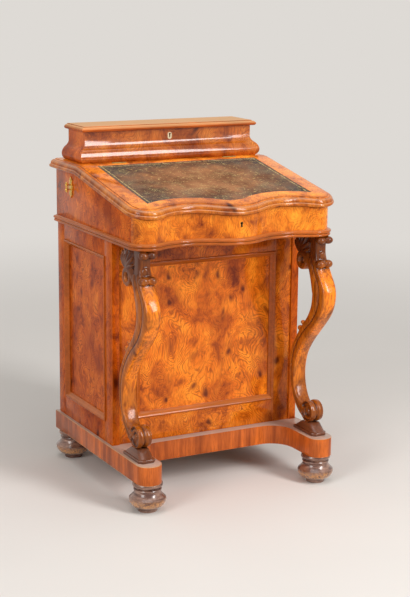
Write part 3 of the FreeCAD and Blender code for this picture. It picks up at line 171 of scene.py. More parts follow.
def rgba(colour):
    """A node's output as it is, and a plain colour made opaque."""
    return colour if isinstance(colour, bpy.types.NodeSocket) else (*colour, 1.0)


def add(tree, kind, links=None, **settings):
    """Add a node with its settings and its linked or set inputs."""
    node = tree.nodes.new(kind)
    for name, value in settings.items():
        setattr(node, name, value)
    for socket, value in (links or {}).items():
        if isinstance(value, bpy.types.NodeSocket):
            tree.links.new(value, node.inputs[socket])
        else:
            node.inputs[socket].default_value = value
    return node


class Paint:
    """A material in the making: its methods add nodes and return what comes out of them. Sizes are in metres."""

    def __init__(self, name, roughness, specular=0.5, coat=0.0, coat_roughness=0.03, metallic=0.0):
        self.material = bpy.data.materials.new(name)
        self.material.use_nodes = True
        self.tree = self.material.node_tree
        self.tree.nodes.clear()
        self.shader = self.node("BsdfPrincipled", {
            "Roughness": roughness, "Specular IOR Level": specular, "Coat Weight": coat,
            "Coat Roughness": coat_roughness, "Metallic": metallic})
        self.output = self.node("OutputMaterial", {"Surface": self.shader.outputs[0]})

    def node(self, kind, links=None, **settings):
        return add(self.tree, "ShaderNode" + kind, links, **settings)

    def mapped(self, vector, scale=(1, 1, 1), origin=(0, 0, 0), turn=(0, 0, 0)):
        return self.node("Mapping", {"Vector": vector, "Location": origin, "Rotation": turn,
                                     "Scale": scale}).outputs[0]

    def place(self, **moves):
        """Object coordinates moved to a pattern's own origin, turn and stretch."""
        return self.mapped(self.node("TexCoord").outputs["Object"], **moves)

    def part(self, vector, axis):
        return self.node("SeparateXYZ", {0: vector}).outputs[axis]

    def normal(self, axis):
        return self.part(self.node("TexCoord").outputs["Normal"], axis)

    def drifted(self, place, patch, reach):
        """Coordinates pushed about by a slow noise: patch is the size of its swells, reach how far they push."""
        swell = self.node("TexNoise", {"Vector": place, "Scale": 1 / patch, "Detail": 1.5}).outputs["Color"]
        centred = self.node("VectorMath", {0: swell, 1: (0.5, 0.5, 0.5)}, operation="SUBTRACT").outputs[0]
        return self.node("VectorMath", {0: centred, 1: (reach,) * 3, 2: place}, operation="MULTIPLY_ADD").outputs[0]

    def noise(self, place, size, detail=2.0, roughness=0.5, distortion=0.0):
        return self.node("TexNoise", {"Vector": place, "Scale": 1 / size, "Detail": detail, "Roughness": roughness,
                                      "Distortion": distortion}).outputs["Fac"]

    def cells(self, place, size, **settings):
        return self.node("TexVoronoi", {"Vector": place, "Scale": 1 / size}, **settings).outputs

    def calc(self, operation, *values):
        return self.node("Math", dict(enumerate(values)), operation=operation).outputs[0]

    def span(self, value, low, high, top=1.0, bottom=0.0, kind="LINEAR"):
        """How far a value has come from low to high, told as bottom to top."""
        return self.node("MapRange", {0: value, 1: low, 2: high, 3: bottom, 4: top},
                         interpolation_type=kind).outputs[0]

    def ramp(self, value, *stops):
        node = self.node("ValToRGB", {0: value})
        elements = node.color_ramp.elements
        for number, (position, shade) in enumerate(stops):
            stop = elements[number] if number < 2 else elements.new(position)
            stop.position = position
            stop.color = rgba(shade)
        return node.outputs[0]

    def mixed(self, factor, low, high, mode="MIX"):
        return self.node("Mix", {0: factor, MIX_A: rgba(low), MIX_B: rgba(high)}, data_type="RGBA",
                         blend_type=mode).outputs[MIX_RESULT]

    def toned(self, colour, tone):
        return self.mixed(1.0, colour, tone, "MULTIPLY")

    def coloured(self, colour, height=None, strength=0.0, depth=0.0):
        """Give the surface its colour and its finest relief, and hand over the material."""
        self.tree.links.new(colour, self.shader.inputs["Base Color"])
        if height is not None:
            bump = self.node("Bump", {"Height": height, "Strength": strength, "Distance": depth})
            self.tree.links.new(bump.outputs[0], self.shader.inputs["Normal"])
        return self.material


def direct_rays(tree):
    """1 for the rays that show the backdrop: those of the camera, of a gloss and of glass."""
    path = add(tree, "ShaderNodeLightPath").outputs
    either = add(tree, "ShaderNodeMath", {0: path["Is Camera Ray"], 1: path["Is Glossy Ray"]}, operation="MAXIMUM")
    return add(tree, "ShaderNodeMath", {0: either.outputs[0], 1: path["Is Transmission Ray"]},
               operation="MAXIMUM").outputs[0]


# ---- Materials --------------------------------------------------------------
HOLLOW = "hollow"  # attribute that holds how deep a carved point lies under its surroundings
KNOT_SHARE = 0.45  # share of the lattice's cells that hold a knot, where a veneer's own share is 1


def burr_walnut(name, origin, tone, knots, lines, gloss=0.35, edge=None):
    """French polished burr walnut: amber ground, growth lines that flow round dark knots, red brown shade."""
    finish = bpy.context.scene.desk_finish
    paint = Paint(name, 0.24, specular=0.08, coat=gloss, coat_roughness=0.07)
    place = paint.place(origin=origin, scale=(1, 1, 0.8))
    bent = paint.drifted(paint.drifted(place, 0.12, 0.10), 0.035, 0.022)
    # Knots of 4 to 9 mm stand in some cells of a 34 mm lattice; each one bends the lines round itself.
    lattice = paint.cells(bent, 0.034)
    near = paint.span(lattice["Distance"], 0.5, 0.0, kind="SMOOTHSTEP")
    chance = 1 - KNOT_SHARE * knots
    knot = paint.calc("MULTIPLY", near, paint.span(paint.part(lattice["Color"], X), chance, chance + 0.05))
    # Growth lines lie about 4 mm apart along the level lines of a slow field. They break off every 20 mm or so,
    # and gather in bunches a hand wide.
    field = paint.noise(paint.drifted(bent, 0.011, 0.006), 0.1, 1.0)
    wave = paint.calc("SINE", paint.calc("MULTIPLY", paint.calc("MULTIPLY_ADD", knot, 0.12, field), 270.0))
    bunched = paint.calc("MULTIPLY_ADD", paint.noise(bent, 0.08), 1.6, -0.8)
    strength = paint.calc("ADD", paint.noise(place, 0.02, 3.0), bunched)
    line = paint.span(paint.calc("MULTIPLY", wave, strength), 0.12, 0.62, lines * 1.8, kind="SMOOTHSTEP")
    # The ground is mottled every 15 to 40 mm.
    colour = paint.ramp(paint.noise(bent, 0.045, 7.0, 0.66), (0.30, finish.burr_shade), (0.47, finish.burr_middle),
                        (0.66, finish.burr_light))
    for mask, shade in ((line, finish.burr_shade), (paint.span(knot, 0.1, 0.75, 0.75), finish.burr_shade),
                        (paint.span(knot, 0.55, 0.9, 0.6), finish.burr_dark)):
        colour = paint.mixed(mask, colour, shade)
    # Pin knots of 1 to 2 mm come in drifts.
    pin = paint.span(paint.cells(bent, 0.0085)["Distance"], 0.30, 0.12)
    drift = paint.span(paint.noise(place, 0.07, 4.0), 0.55, 0.68, 0.8 * knots)
    colour = paint.mixed(paint.calc("MULTIPLY", pin, drift), colour, finish.burr_dark)
    # Fibres 3 mm wide show as short streaks that follow the bends.
    fibres = paint.noise(paint.mapped(bent, (1, 1, 0.11)), 0.0032, 3.0, 0.6)
    colour = paint.toned(colour, paint.ramp(fibres, (0.34, (0.76, 0.66, 0.60)), (0.56, (1.08, 1.06, 1.03))))
    # Patches a hand wide run from honey to red brown.
    patches = paint.ramp(paint.noise(place, 0.15, 3.0, 0.6), (0.33, (0.50, 0.36, 0.36)),
                         (0.45, (0.86, 0.76, 0.72)), (0.55, (1.04, 1.04, 1.0)))
    colour = paint.toned(paint.toned(colour, patches), tone)
    if edge is not None:
        # The moulded edge round a lid is darker solid wood. Its upper rounds get a painted highlight of light from
        # above, in the pale arris colour.
        up = paint.normal(Z)
        colour = paint.toned(colour, paint.mixed(paint.span(up, 0.93, 0.97), edge, WHITE))
        # Painted highlight: a pale band on the faces that look partly upwards.
        rubbed = paint.ramp(up, (0.35, BLACK), (0.75, (0.32,) * 3), (0.94, BLACK))
        colour = paint.mixed(rubbed, colour, finish.worn_arris)
    # Pores are under half a millimetre, drawn at 0.8 mm so that they show.
    return paint.coloured(colour, paint.noise(place, 0.0008), 0.03, 0.0004)


def sawn_wood(name, light, dark, turn, pitch=0.012, contrast=1.0, roughness=0.3, coat=0.35, top=None):
    """Plain sawn wood: streaks along Z before the turn, broken by finer, darker pores."""
    finish = bpy.context.scene.desk_finish
    light = getattr(finish, light)
    dark = darker(light, dark) if isinstance(dark, float) else getattr(finish, dark)
    paint = Paint(name, roughness, specular=0.1, coat=coat, coat_roughness=0.12)
    place = paint.place(turn=turn)
    along = paint.mapped(place, (1, 1, 0.07))
    reach = 0.16 / contrast
    ground = paint.ramp(paint.noise(along, pitch, 5.0, 0.6, 0.5), (0.5 - reach, dark), (0.5 + reach, light))
    pores = paint.noise(along, 0.0016)
    colour = paint.mixed(paint.ramp(pores, (0.34, (0.45,) * 3), (0.48, BLACK)), ground, dark)
    clouds = paint.noise(place, 0.11, 3.0)
    colour = paint.toned(colour, paint.ramp(clouds, (0.36, (0.74, 0.68, 0.64)), (0.64, (1.1, 1.06, 1.0))))
    if top is not None:
        # Faces that look upwards are paler: dust with a painted sheen on the base, a painted sheen with some fading
        # on the mouldings, and fading on the case lid.
        colour = paint.mixed(paint.span(paint.normal(Z), 0.45, 0.93, 0.75), colour, getattr(finish, top))
    return paint.coloured(colour, pores, 0.06, 0.0005)


def carved_walnut():
    """Carved and waxed walnut: amber where hands have rubbed it, dark in patches and hollows, darkest on the head,
    partly as painted shadow.
    """
    finish = bpy.context.scene.desk_finish
    paint = Paint("carved waxed walnut", 0.3, specular=0.1, coat=0.5, coat_roughness=0.16)
    place = paint.place()
    along = paint.mapped(place, (1, 1, 0.3))
    low = tuple(0.2 * a + 0.8 * b for a, b in zip(finish.carving_light, finish.carving_dark))
    ground = paint.ramp(paint.noise(along, 0.035, 5.0, 0.6, 0.9), (0.32, low), (0.54, finish.carving_light))
    # The shank's broad curves stay lightest. Its foot and flanks are browner; its head is darkest, partly dark stain
    # and partly painted shadow from the desk above.
    height = paint.part(place, Z)
    foot = paint.span(height, 0.17, 0.30, 0.0, 0.95)
    flank = paint.span(paint.calc("ABSOLUTE", paint.normal(X)), 0.5, 0.9, 0.65)
    colour = paint.mixed(paint.calc("MAXIMUM", foot, flank), ground, low)
    # Painted shadow of the desk's overhang, with dark stain, on the head of the support.
    colour = paint.mixed(paint.span(height, 0.50, 0.55, 0.82), colour, finish.carving_dark)
    fibres = paint.noise(paint.mapped(paint.drifted(place, 0.05, 0.02), (1, 1, 0.12)), 0.004, 3.0)
    colour = paint.toned(colour, paint.ramp(fibres, (0.36, (0.66, 0.52, 0.46)), (0.56, (1.08, 1.06, 1.02))))
    hollow = paint.node("Attribute", attribute_name=HOLLOW).outputs["Fac"]
    colour = paint.mixed(hollow, colour, finish.carving_dark)
    return paint.coloured(colour, paint.noise(along, 0.0015), 0.05, 0.0005)


def stained_foot():
    """Dark stained turnings with grey wear and a painted sheen in pale streaks, pale under the bulge where shoes
    have rubbed them.
    """
    finish = bpy.context.scene.desk_finish
    paint = Paint("dark stained turned walnut", 0.3, coat=1.0, coat_roughness=0.14)
    place = paint.place()
    # Pale grey streaks over the stain: wear, and in part painted sheen.
    wear = paint.noise(paint.mapped(place, (0.25, 0.25, 1)), 0.009, 5.0, 0.7)
    stained = paint.mixed(paint.span(wear, 0.43, 0.72, 0.75), finish.foot_dark, finish.foot_worn)
    # The stain is gone from the underside of the bulge, between a sixth and half of the way up.
    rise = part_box("base_left_runner")[0].z
    height = paint.part(place, Z)
    band = paint.calc("MULTIPLY", paint.span(height, 0.15 * rise, 0.24 * rise),
                      paint.span(height, 0.50 * rise, 0.36 * rise))
    chips = paint.span(paint.noise(place, 0.006, 6.0, 0.75), 0.42, 0.56)
    colour = paint.mixed(paint.calc("MULTIPLY", band, chips), stained, finish.foot_bare)
    return paint.coloured(colour, wear, 0.15, 0.0006)


def skiver_leather():
    """Thin sheepskin writing leather: fine pebble grain, rubbed brown in the middle, specks of gilt."""
    finish = bpy.context.scene.desk_finish
    paint = Paint("worn skiver leather", 0.65, specular=0.15, coat=0.02)
    place = paint.place()
    low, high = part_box("writing_leather")
    half = (high - low) / 2
    centred = paint.mapped(place, origin=tuple(-(low + high) / 2))
    share = paint.mapped(centred, (1 / half.x, 1 / half.y, 0))  # of the way from the middle to each edge
    reach = paint.node("VectorMath", {0: share}, operation="LENGTH").outputs["Value"]
    mottle = paint.noise(place, 0.045, 6.0, 0.65)
    outwards = paint.span(paint.calc("MULTIPLY_ADD", mottle, 1.5, reach), 1.2, 1.9)
    rubbed = paint.ramp(outwards, (0.0, finish.leather_middle), (1.0, finish.leather_edge))
    stains = paint.noise(place, 0.07, 5.0, 0.6)
    stained = paint.toned(rubbed, paint.ramp(stains, (0.36, (0.48, 0.42, 0.42)), (0.6, (1.1, 1.1, 1.1))))
    # Gilt is left as specks and as short scratches, most of them in the rubbed middle.
    specks = paint.noise(place, 0.008, 6.0, 0.85)
    wander = paint.drifted(paint.place(turn=(0, 0, 0.5), scale=(1, 5, 1)), 0.02, 0.02)
    scratch = paint.span(paint.cells(wander, 0.02, feature="DISTANCE_TO_EDGE")["Distance"], 0.05, 0.0, 0.7)
    scratched = paint.calc("MULTIPLY", scratch, paint.span(mottle, 0.5, 0.62))
    gilded = paint.calc("MAXIMUM", paint.span(specks, 0.56, 0.66, 0.8), scratched)
    # A tooled gilt line 2.2 mm wide runs 8 mm inside the sides and the rear edge.
    kept = paint.span(specks, 0.42, 0.52, 0.8)
    for way, length in ((paint.calc("ABSOLUTE", paint.part(share, X)), half.x), (paint.part(share, Y), half.y)):
        line = paint.calc("COMPARE", way, 1 - 0.008 / length, 0.0011 / length)
        gilded = paint.calc("MAXIMUM", gilded, paint.calc("MULTIPLY", line, kept))
    colour = paint.mixed(gilded, stained, finish.gilt)
    return paint.coloured(colour, paint.cells(place, 0.0022)["Distance"], 0.25, 0.0004)


def aged_brass(name, colour, roughness):
    """Cast and filed brass, browner in patches."""
    colour = getattr(bpy.context.scene.desk_finish, colour)
    paint = Paint(name, roughness, metallic=1.0)
    tarnish = paint.noise(paint.place(), 0.008, 5.0)
    return paint.coloured(paint.ramp(tarnish, (0.36, darker(colour, 0.6)), (0.6, colour)), tarnish, 0.1, 0.0004)


def polished_bone():
    """Polished bone: cream with faint darker pores."""
    cream = bpy.context.scene.desk_finish.bone
    paint = Paint("polished bone", 0.35)
    pores = paint.noise(paint.place(scale=(1, 1, 0.2)), 0.0015, 3.0)
    return paint.coloured(paint.ramp(pores, (0.3, darker(cream, 0.6)), (0.5, cream)))


UPRIGHT = (0, 0, 0)
ACROSS = (0, math.pi / 2, 0)
FORWARD = (math.pi / 2, 0, 0)
FINISHES = {
    # Burr walnut: origin of the figure, tone, knots, strength of the growth lines, polish, tone of a moulded edge.
    "burr front": (burr_walnut, "burr walnut veneer, front", (0.16, 0.2, 0.04), (1.1, 0.97, 0.75), 1.0, 0.32),
    "burr frame": (burr_walnut, "burr walnut veneer, front frame", (0.83, 0.5, 0.27), (0.86, 0.73, 0.6), 0.8, 0.3),
    "burr box": (burr_walnut, "figured walnut veneer, desk box", (0.41, 0.6, 0.33), (1.05, 1.04, 1.0), 0.35, 0.22),
    "burr case": (burr_walnut, "figured walnut veneer, stationery box", (0.17, 0.36, 0.73), (0.64, 0.58, 1.1),
                  0.6, 0.3, 0.85),
    "burr lid": (burr_walnut, "figured walnut veneer, lid", (0.7, 0.1, 0.9), (1.22, 1.26, 1.4), 0.45, 0.22, 0.5,
                 (0.58, 0.54, 0.60)),
    "burr side": (burr_walnut, "figured walnut veneer, side panel", (0.29, 0.9, 0.51), (0.76, 0.52, 0.5),
                  0.9, 0.3, 0.1),
    "burr stile": (burr_walnut, "figured walnut veneer, side frame", (0.59, 0.4, 0.21), (0.66, 0.42, 0.3),
                   0.3, 0.2, 0.1),
    "burr cheek": (burr_walnut, "figured walnut veneer, desk cheeks", (0.41, 0.6, 0.33), (0.86, 0.62, 0.5),
                   0.35, 0.25, 0.15),
    # Sawn wood: light colour, dark colour or share of the light one, way of the grain, width of its streaks,
    # contrast, roughness, polish, colour of the faces that look upwards.
    "case lid": (sawn_wood, "faded walnut veneer", "base_light", "base_dark", ACROSS, 0.012, 0.6, 0.5, 0.05,
                 "case_top"),
    "side": (sawn_wood, "polished walnut, upright", "side_light", "side_dark", UPRIGHT),
    # Its upper faces get a painted sheen of light from above.
    "moulding": (sawn_wood, "polished walnut moulding", "moulding", 0.6, ACROSS, 0.008, 0.7, 0.2, 0.4, "faded"),
    # The base's upper faces take dust and a painted sheen.
    "base": (sawn_wood, "cross banded walnut base", "base_light", "base_dark", UPRIGHT, 0.024, 0.8, 0.3, 0.25,
             "dust"),
    # Pale rubbed edges of the base, in part a painted highlight along them.
    "worn arris": (sawn_wood, "walnut rubbed to bare wood", "worn_arris", 0.6, FORWARD, 0.006, 1.0, 0.45, 0.1),
    "arris": (sawn_wood, "polished walnut arris", "side_light", "moulding", FORWARD, 0.006, 1.0, 0.25, 0.4),
    "plinth": (sawn_wood, "dulled walnut", "dull_wood", 0.4, FORWARD, 0.012, 0.6, 0.25, 0.8),
    "pine": (sawn_wood, "unpolished pine", "pine", 0.6, ACROSS, 0.01, 0.8, 0.6, 0.0),
    "maple": (sawn_wood, "pale polished maple", "maple", 0.7, ACROSS, 0.008, 0.6, 0.35, 0.25),
    "brass": (aged_brass, "polished brass", "brass", 0.24),
    "patina": (aged_brass, "darkened brass", "patina", 0.42),
    "carving": (carved_walnut,),
    "foot": (stained_foot,),
    "leather": (skiver_leather,),
    "bone": (polished_bone,),
}
_materials = {}


def material_named(key):
    """Each finish is made once, when a piece first asks for it."""
    if key not in _materials:
        maker, *settings = FINISHES[key]
        _materials[key] = maker(*settings)
    return _materials[key]


# ---- Meshes -----------------------------------------------------------------
def shells(node):
    """The corner positions of a CAD node, and its closed shells as lists of triangles of them."""
    mesh = frame["nodes"][node].data
    corner = {}
    index = [corner.setdefault(tuple(round(c, 7) for c in v.co), len(corner)) for v in mesh.vertices]
    found = []
    current = []
    unmatched = set()
    for polygon in mesh.polygons:
        ids = [index[v] for v in polygon.vertices]
        if len(set(ids)) < 3:
            continue
        current.append(ids)
        for a, b in zip(ids, ids[1:] + ids[:1]):
            if (b, a) in unmatched:
                unmatched.remove((b, a))
            else:
                unmatched.add((a, b))
        if not unmatched:
            found.append(current)
            current = []
    if current:
        found.append(current)
    return list(corner), found


def slot_of(node):
    return next(s["material_slot"] for s in frame["record"]["subparts"] if s["node"] == node)


def body_of(node):
    bodies = frame["record"]["behaviour"]["bodies"]
    return next(body for body, members in bodies.items() if node in members)


def linked(name, data):
    """A new object in the scene."""
    item = bpy.data.objects.new(name, data)
    bpy.context.scene.collection.objects.link(item)
    return item


def evaluated_mesh(carrier):
    """The plain mesh that an object's modifiers make; the object goes."""
    depsgraph = bpy.context.evaluated_depsgraph_get()
    mesh = bpy.data.meshes.new_from_object(carrier.evaluated_get(depsgraph))
    bpy.data.objects.remove(carrier)
    return mesh


def finished(name, mesh, nodes, materials, body=None, slot=None, sharp_edges=True):
    """Put a mesh in the scene as a piece that stands for CAD nodes and rides on their body."""
    piece = linked(name, mesh)
    for key in materials:
        mesh.materials.append(material_named(key))
    mesh.shade_smooth()
    if sharp_edges:
        mesh.set_sharp_from_angle(angle=bpy.context.scene.desk_joinery.smooth_angle)
    body = body or body_of(nodes[0])
    slot = slot or slot_of(nodes[0])
    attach(piece, body)
    if nodes:
        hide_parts(*nodes)
    return piece


def to_mesh(bm, name):
    mesh = bpy.data.meshes.new(name)
    bm.to_mesh(mesh)
    bm.free()
    return mesh


def joined(forms, name):
    """One mesh that holds all the forms."""
    whole = bmesh.new()
    for form in forms:
        part = to_mesh(form, "form")
        whole.from_mesh(part)
        bpy.data.meshes.remove(part)
    return to_mesh(whole, name)


def rounded_shell(places, triangles, arris):
    """One shell with flat faces made whole and sharp edges rounded, or as it is where it has no arris."""
    bm = bmesh.new()
    corners = {i: bm.verts.new(places[i]) for i in dict.fromkeys(i for ids in triangles for i in ids)}
    # A sliver folded flat would be the same face twice, so each set of corners makes one face.
    for ids in {frozenset(ids): ids for ids in triangles}.values():
        bm.faces.new([corners[i] for i in ids])
    bmesh.ops.recalc_face_normals(bm, faces=bm.faces)
    if arris:
        bmesh.ops.dissolve_limit(bm, angle_limit=math.radians(0.5), verts=bm.verts, edges=bm.edges)
        smooth_angle = bpy.context.scene.desk_joinery.smooth_angle
        sharp = [e for e in bm.edges if len(e.link_faces) == 2 and e.calc_face_angle(0.0) > smooth_angle]
        bmesh.ops.bevel(bm, geom=sharp, offset=arris, segments=2, profile=0.5, affect="EDGES",
                        clamp_overlap=True, material=1)
    return bm


def rounded_copy(node, arris, materials):
    """A CAD node's shape as a finished piece; the second material goes to its rounded edges."""
    places, found = shells(node)
    mesh = joined((rounded_shell(places, triangles, arris) for triangles in found), node + "_finished")
    return finished(node + "_finished", mesh, [node], materials)


def smooth_path(stations, count):
    """Points evenly spread in step along a Catmull-Rom curve through tuples of numbers."""
    spans = len(stations) - 1
    path = []
    for step in range(count):
        place = spans * step / (count - 1)
        span = min(int(place), spans - 1)
        t = place - span
        p = [stations[max(0, min(spans, span + k))] for k in (-1, 0, 1, 2)]
        path.append(tuple(
            0.5 * (2 * b + (c - a) * t + (2 * a - 5 * b + 4 * c - d) * t * t + (3 * b - a - 3 * c + d) * t ** 3)
            for a, b, c, d in zip(*p)))
    return path


def around(steps):
    """Angles evenly spread over a full turn."""
    return [2 * math.pi * k / steps for k in range(steps)]


def skinned(loops):
    """A closed form over a row of closed loops of points."""
    bm = bmesh.new()
    rows = [[bm.verts.new(p) for p in loop] for loop in loops]
    for row, following in zip(rows, rows[1:]):
        for i in range(len(row)):
            j = (i + 1) % len(row)
            bm.faces.new([row[i], row[j], following[j], following[i]])
    bm.faces.new(list(reversed(rows[0])))
    bm.faces.new(rows[-1])
    bmesh.ops.recalc_face_normals(bm, faces=bm.faces)
    return bm


def turned(profile, steps, axis="Z"):
    """A lathe turning of (radius, height) points that begin and end on the axis."""
    bm = bmesh.new()
    rows = [[bm.verts.new((radius * math.cos(a), radius * math.sin(a), height))
             for a in (around(steps) if radius else (0.0,))] for radius, height in profile]
    for row, following in zip(rows, rows[1:]):
        for i in range(steps):
            j = (i + 1) % steps
            corners = [row[i % len(row)], row[j % len(row)], following[j % len(following)],
                       following[i % len(following)]]
            bm.faces.new(list(dict.fromkeys(corners)))
    bmesh.ops.recalc_face_normals(bm, faces=bm.faces)
    if axis == "X":
        bmesh.ops.transform(bm, matrix=Matrix.Rotation(math.pi / 2, 4, "Y"), verts=bm.verts)
    return bm


# ---- Carved scroll supports, in millimetres ---------------------------------
SUPPORT_SIZE = (46.0, 150.3, 461.0)  # width, depth and height that the numbers below are drawn for
# (front y, front z, rear y, rear z, half width, slimness of the rear band): y from the front, z from the foot.
BODY_STATIONS = [
    (48, 408, 80, 402, 19.0, 0.0), (40, 395, 78, 390, 20.5, 0.0), (32, 382, 73, 378, 21.0, 0.0),
    (22, 368, 66, 365, 21.0, 0.0), (10, 352, 60, 351, 21.0, 0.0), (3, 338, 57, 341, 21.0, 0.0),
    (0.5, 320, 55.7, 321, 21.0, 0.0), (6, 294, 59, 294, 20.8, 0.0), (20, 269, 69, 272, 20.5, 0.0),
    (42, 244, 83, 253, 20.0, 0.1), (68, 217, 103, 231, 19.6, 0.6), (95, 187, 122, 205, 19.2, 1.0),
    (115, 158, 141, 174, 19.0, 1.0), (125.5, 128, 149, 142, 19.0, 1.0), (128, 101, 148.5, 106, 19.0, 1.0),
    (123, 73, 141, 76, 18.8, 1.0), (112, 54, 129, 48, 18.2, 1.0), (97, 41, 112, 24, 17.4, 1.0),
    (82, 34, 94, 10, 16.5, 1.0),
]
BODY_ROWS = 160
SECTION_POINTS = 40
# Right half of the cross section from the front's middle to the rear's: (share of half width, share of depth).
BROAD_BAND = [(0, 0), (0.36, 0.004), (0.64, 0.028), (0.82, 0.085), (0.92, 0.17), (0.96, 0.29), (0.92, 0.38),
              (0.80, 0.43), (0.87, 0.48), (0.98, 0.56), (1.04, 0.68), (1.03, 0.82), (0.94, 0.93), (0.76, 0.985),
              (0.4, 1.0), (0, 0.99)]
SLIM_BAND = [(0, 0), (0.36, 0.008), (0.68, 0.045), (0.86, 0.13), (0.96, 0.26), (0.99, 0.42), (0.95, 0.54),
             (0.82, 0.60), (0.88, 0.65), (0.98, 0.72), (1.03, 0.81), (1.01, 0.90), (0.93, 0.96), (0.76, 0.99),
             (0.4, 1.0), (0, 0.98)]
# (z, front y, rear y, half width) of the neck and of the thinner web behind it.
NECK = [(461, 38, 80, 17.5), (454, 42, 79, 16.4), (444, 45.5, 78, 15.4), (430, 46.5, 78, 15.0),
        (416, 45.5, 79, 15.4), (404, 42, 80, 16.6), (392, 36, 82, 18.5)]
WEB = [(461, 60, 147, 14.0), (450, 60, 146, 11.0), (430, 60, 144, 10.0), (410, 60, 136, 10.0), (392, 60, 127, 10.0),
       (382, 60, 118, 10.0)]
VOLUTE = (70.1, 26.5, 26.5, 17.0)  # y, z, radius and half width of the scroll at the foot
UPPER_SCROLL = (104.0, 393.5, 22.5, 21.5)
CURL_DEPTH = 1.8  # how much deeper the upper scroll is cut than the volute
RIM_ROWS = 20
RIM_ROUND = 2.2  # how far a drum's rim falls away at its edges
ROLL = [(121, 403, 6.0), (113, 409, 8.0), (102, 411, 9.5), (89, 407, 11.0), (77, 397, 12.5), (66.5, 383, 13.5),
        (58.5, 366, 14.5), (52, 346, 14.5), (47, 325, 13.5)]  # y, z, radius of the band where it leaves the curl
ROLL_OUTSIDE = 21.3  # from the middle of the support to the outside of its rolls
# y, z of the lobes at the front of each collar on the neck, how far behind them its roll lies, half its height.
COLLARS = ((35.5, 451.5, 6.0, 8.0), (34.0, 395.0, 4.0, 8.6))
COLLAR_ROLL = (20.5, 12.0)  # half width and half depth
COLLAR_LOBE = (12.2, 11.6)
LOBE_ASIDE = 9.8  # from the middle of the support to the middle of a lobe
LOBE_PROUD = 1.2  # how far a lobe stands above and below its roll
TONGUE = (0, 46.0, 409.0)  # place of the leaf that covers the join of the lower collar
TONGUE_HALF = (9.5, 4.0, 13.0)
TONGUE_LEAN = 0.15
KNOPS = ((108.0, 227.0, 6.4), (97.0, 243.0, 5.2))  # y, z, radius of the buds where the broad band ends
KNOP_STEM = 17.5  # half width of the stem between a pair of buds
KNOP_ASIDE = 15.0
LEAF_GROUND = (6.0, 111.0, 430.0)  # place of the swelling under each leaf
LEAF_GROUND_HALF = (10.5, 36.0, 29.0)
LEAF_BASE = (15.0, 121.0, 410.0)  # place that the lobes fan out from
LEAF_LOBES = [(52, 34), (71, 41), (89, 45), (107, 48), (125, 50), (143, 49), (162, 44), (182, 34)]  # lean, length
TOP_CLEARANCE = 0.3  # the carving stays that far under the top of the support


def cross_section(station, count):
    """A broad front with soft corners, a quirk, and a raised band along each rear edge."""
    front_y, front_z, rear_y, rear_z, half_width, slim = station
    front = Vector((0, front_y, front_z))
    rear = Vector((0, rear_y, rear_z))
    half = [(a * (1 - slim) + b * slim, c * (1 - slim) + d * slim)
            for (a, c), (b, d) in zip(BROAD_BAND, SLIM_BAND)]
    right = smooth_path(half, count)
    loop = right + [(-across, depth) for across, depth in reversed(right[1:-1])]
    return [(half_width * across, *front.lerp(rear, depth).yz) for across, depth in loop]


def upright_block(levels, rows):
    """A block with rounded corners, through levels of (z, front y, rear y, half width)."""
    def squared(share):
        return math.copysign(abs(share) ** 0.5, share)

    return skinned([[(half_width * squared(math.sin(a)),
                      (front + rear) / 2 + (rear - front) / 2 * squared(math.cos(a)), z)
                     for a in around(SECTION_POINTS)]
                    for z, front, rear, half_width in smooth_path(levels, rows)])


def spiral_face(share, angle, turns):
    """How deep a volute's face is cut, from 0 at its ridge to 1, with a button in its eye."""
    if share < 0.3:
        return 0.3 + 0.9 * (share / 0.3) ** 4
    phase = (share * turns - angle / (2 * math.pi)) % 1.0
    ridge = max(0.0, 1 - abs(phase - 0.5) / 0.26)
    return 0.0 if share > 0.9 else 1 - ridge * ridge * (3 - 2 * ridge)


def curl_face(share, angle, turns):
    """How deep a curl's face is cut, the same all round: a round lip about a hollow with a button in it."""
    if share < 0.24:
        return 0.45 + 0.55 * (share / 0.24) ** 4
    return 1 - min(1.0, max(0.0, (share - 0.36) / 0.22)) ** 0.5 + 0.45 * max(0.0, (share - 0.8) / 0.2) ** 2


def drum(scroll, face, turns, relief, groove, steps=96, rings=26):
    """A short drum with a two-lobed rim and a figure cut in both faces, its axis along X."""
    y, z, radius, half_width = scroll

    def flank(side):
        return [[(side * (half_width - relief * face(share, side * a, turns)),
                  y + radius * share * math.cos(a), z + radius * share * math.sin(a)) for a in around(steps)]
                for share in ((ring + 0.5) / rings for ring in range(rings))]

    rim = []
    for row in range(RIM_ROWS + 1):
        x = half_width * (2 * row / RIM_ROWS - 1)
        dip = groove * math.exp(-(x / (0.2 * half_width)) ** 2) + RIM_ROUND * abs(x / half_width) ** 4
        rim.append([(x, y + (radius - dip) * math.cos(a), z + (radius - dip) * math.sin(a)) for a in around(steps)])
    return skinned(flank(-1) + rim + flank(1)[::-1])


def ellipsoid(centre, radii, lean=0.0):
    """An ellipsoid of given radii, leaned back about X."""
    bm = bmesh.new()
    bmesh.ops.create_uvsphere(bm, u_segments=24, v_segments=16, radius=1.0)
    placing = Matrix.Translation(centre) @ Matrix.Rotation(lean, 4, "X") @ Matrix.Diagonal((*radii, 1.0))
    bmesh.ops.transform(bm, matrix=placing, verts=bm.verts)
    return bm


def tube(path, radii, steps=24):
    """A round ridge along a path of points that lie in a plane of constant X."""
    sideways = Vector((1, 0, 0))
    loops = []
    for k, (point, radius) in enumerate(zip(path, radii)):
        along = (Vector(path[min(len(path) - 1, k + 1)]) - Vector(path[max(0, k - 1)])).normalized()
        across = along.cross(sideways)
        loops.append([Vector(point) + radius * (math.cos(a) * across + math.sin(a) * sideways)
                      for a in around(steps)])
    return skinned(loops)


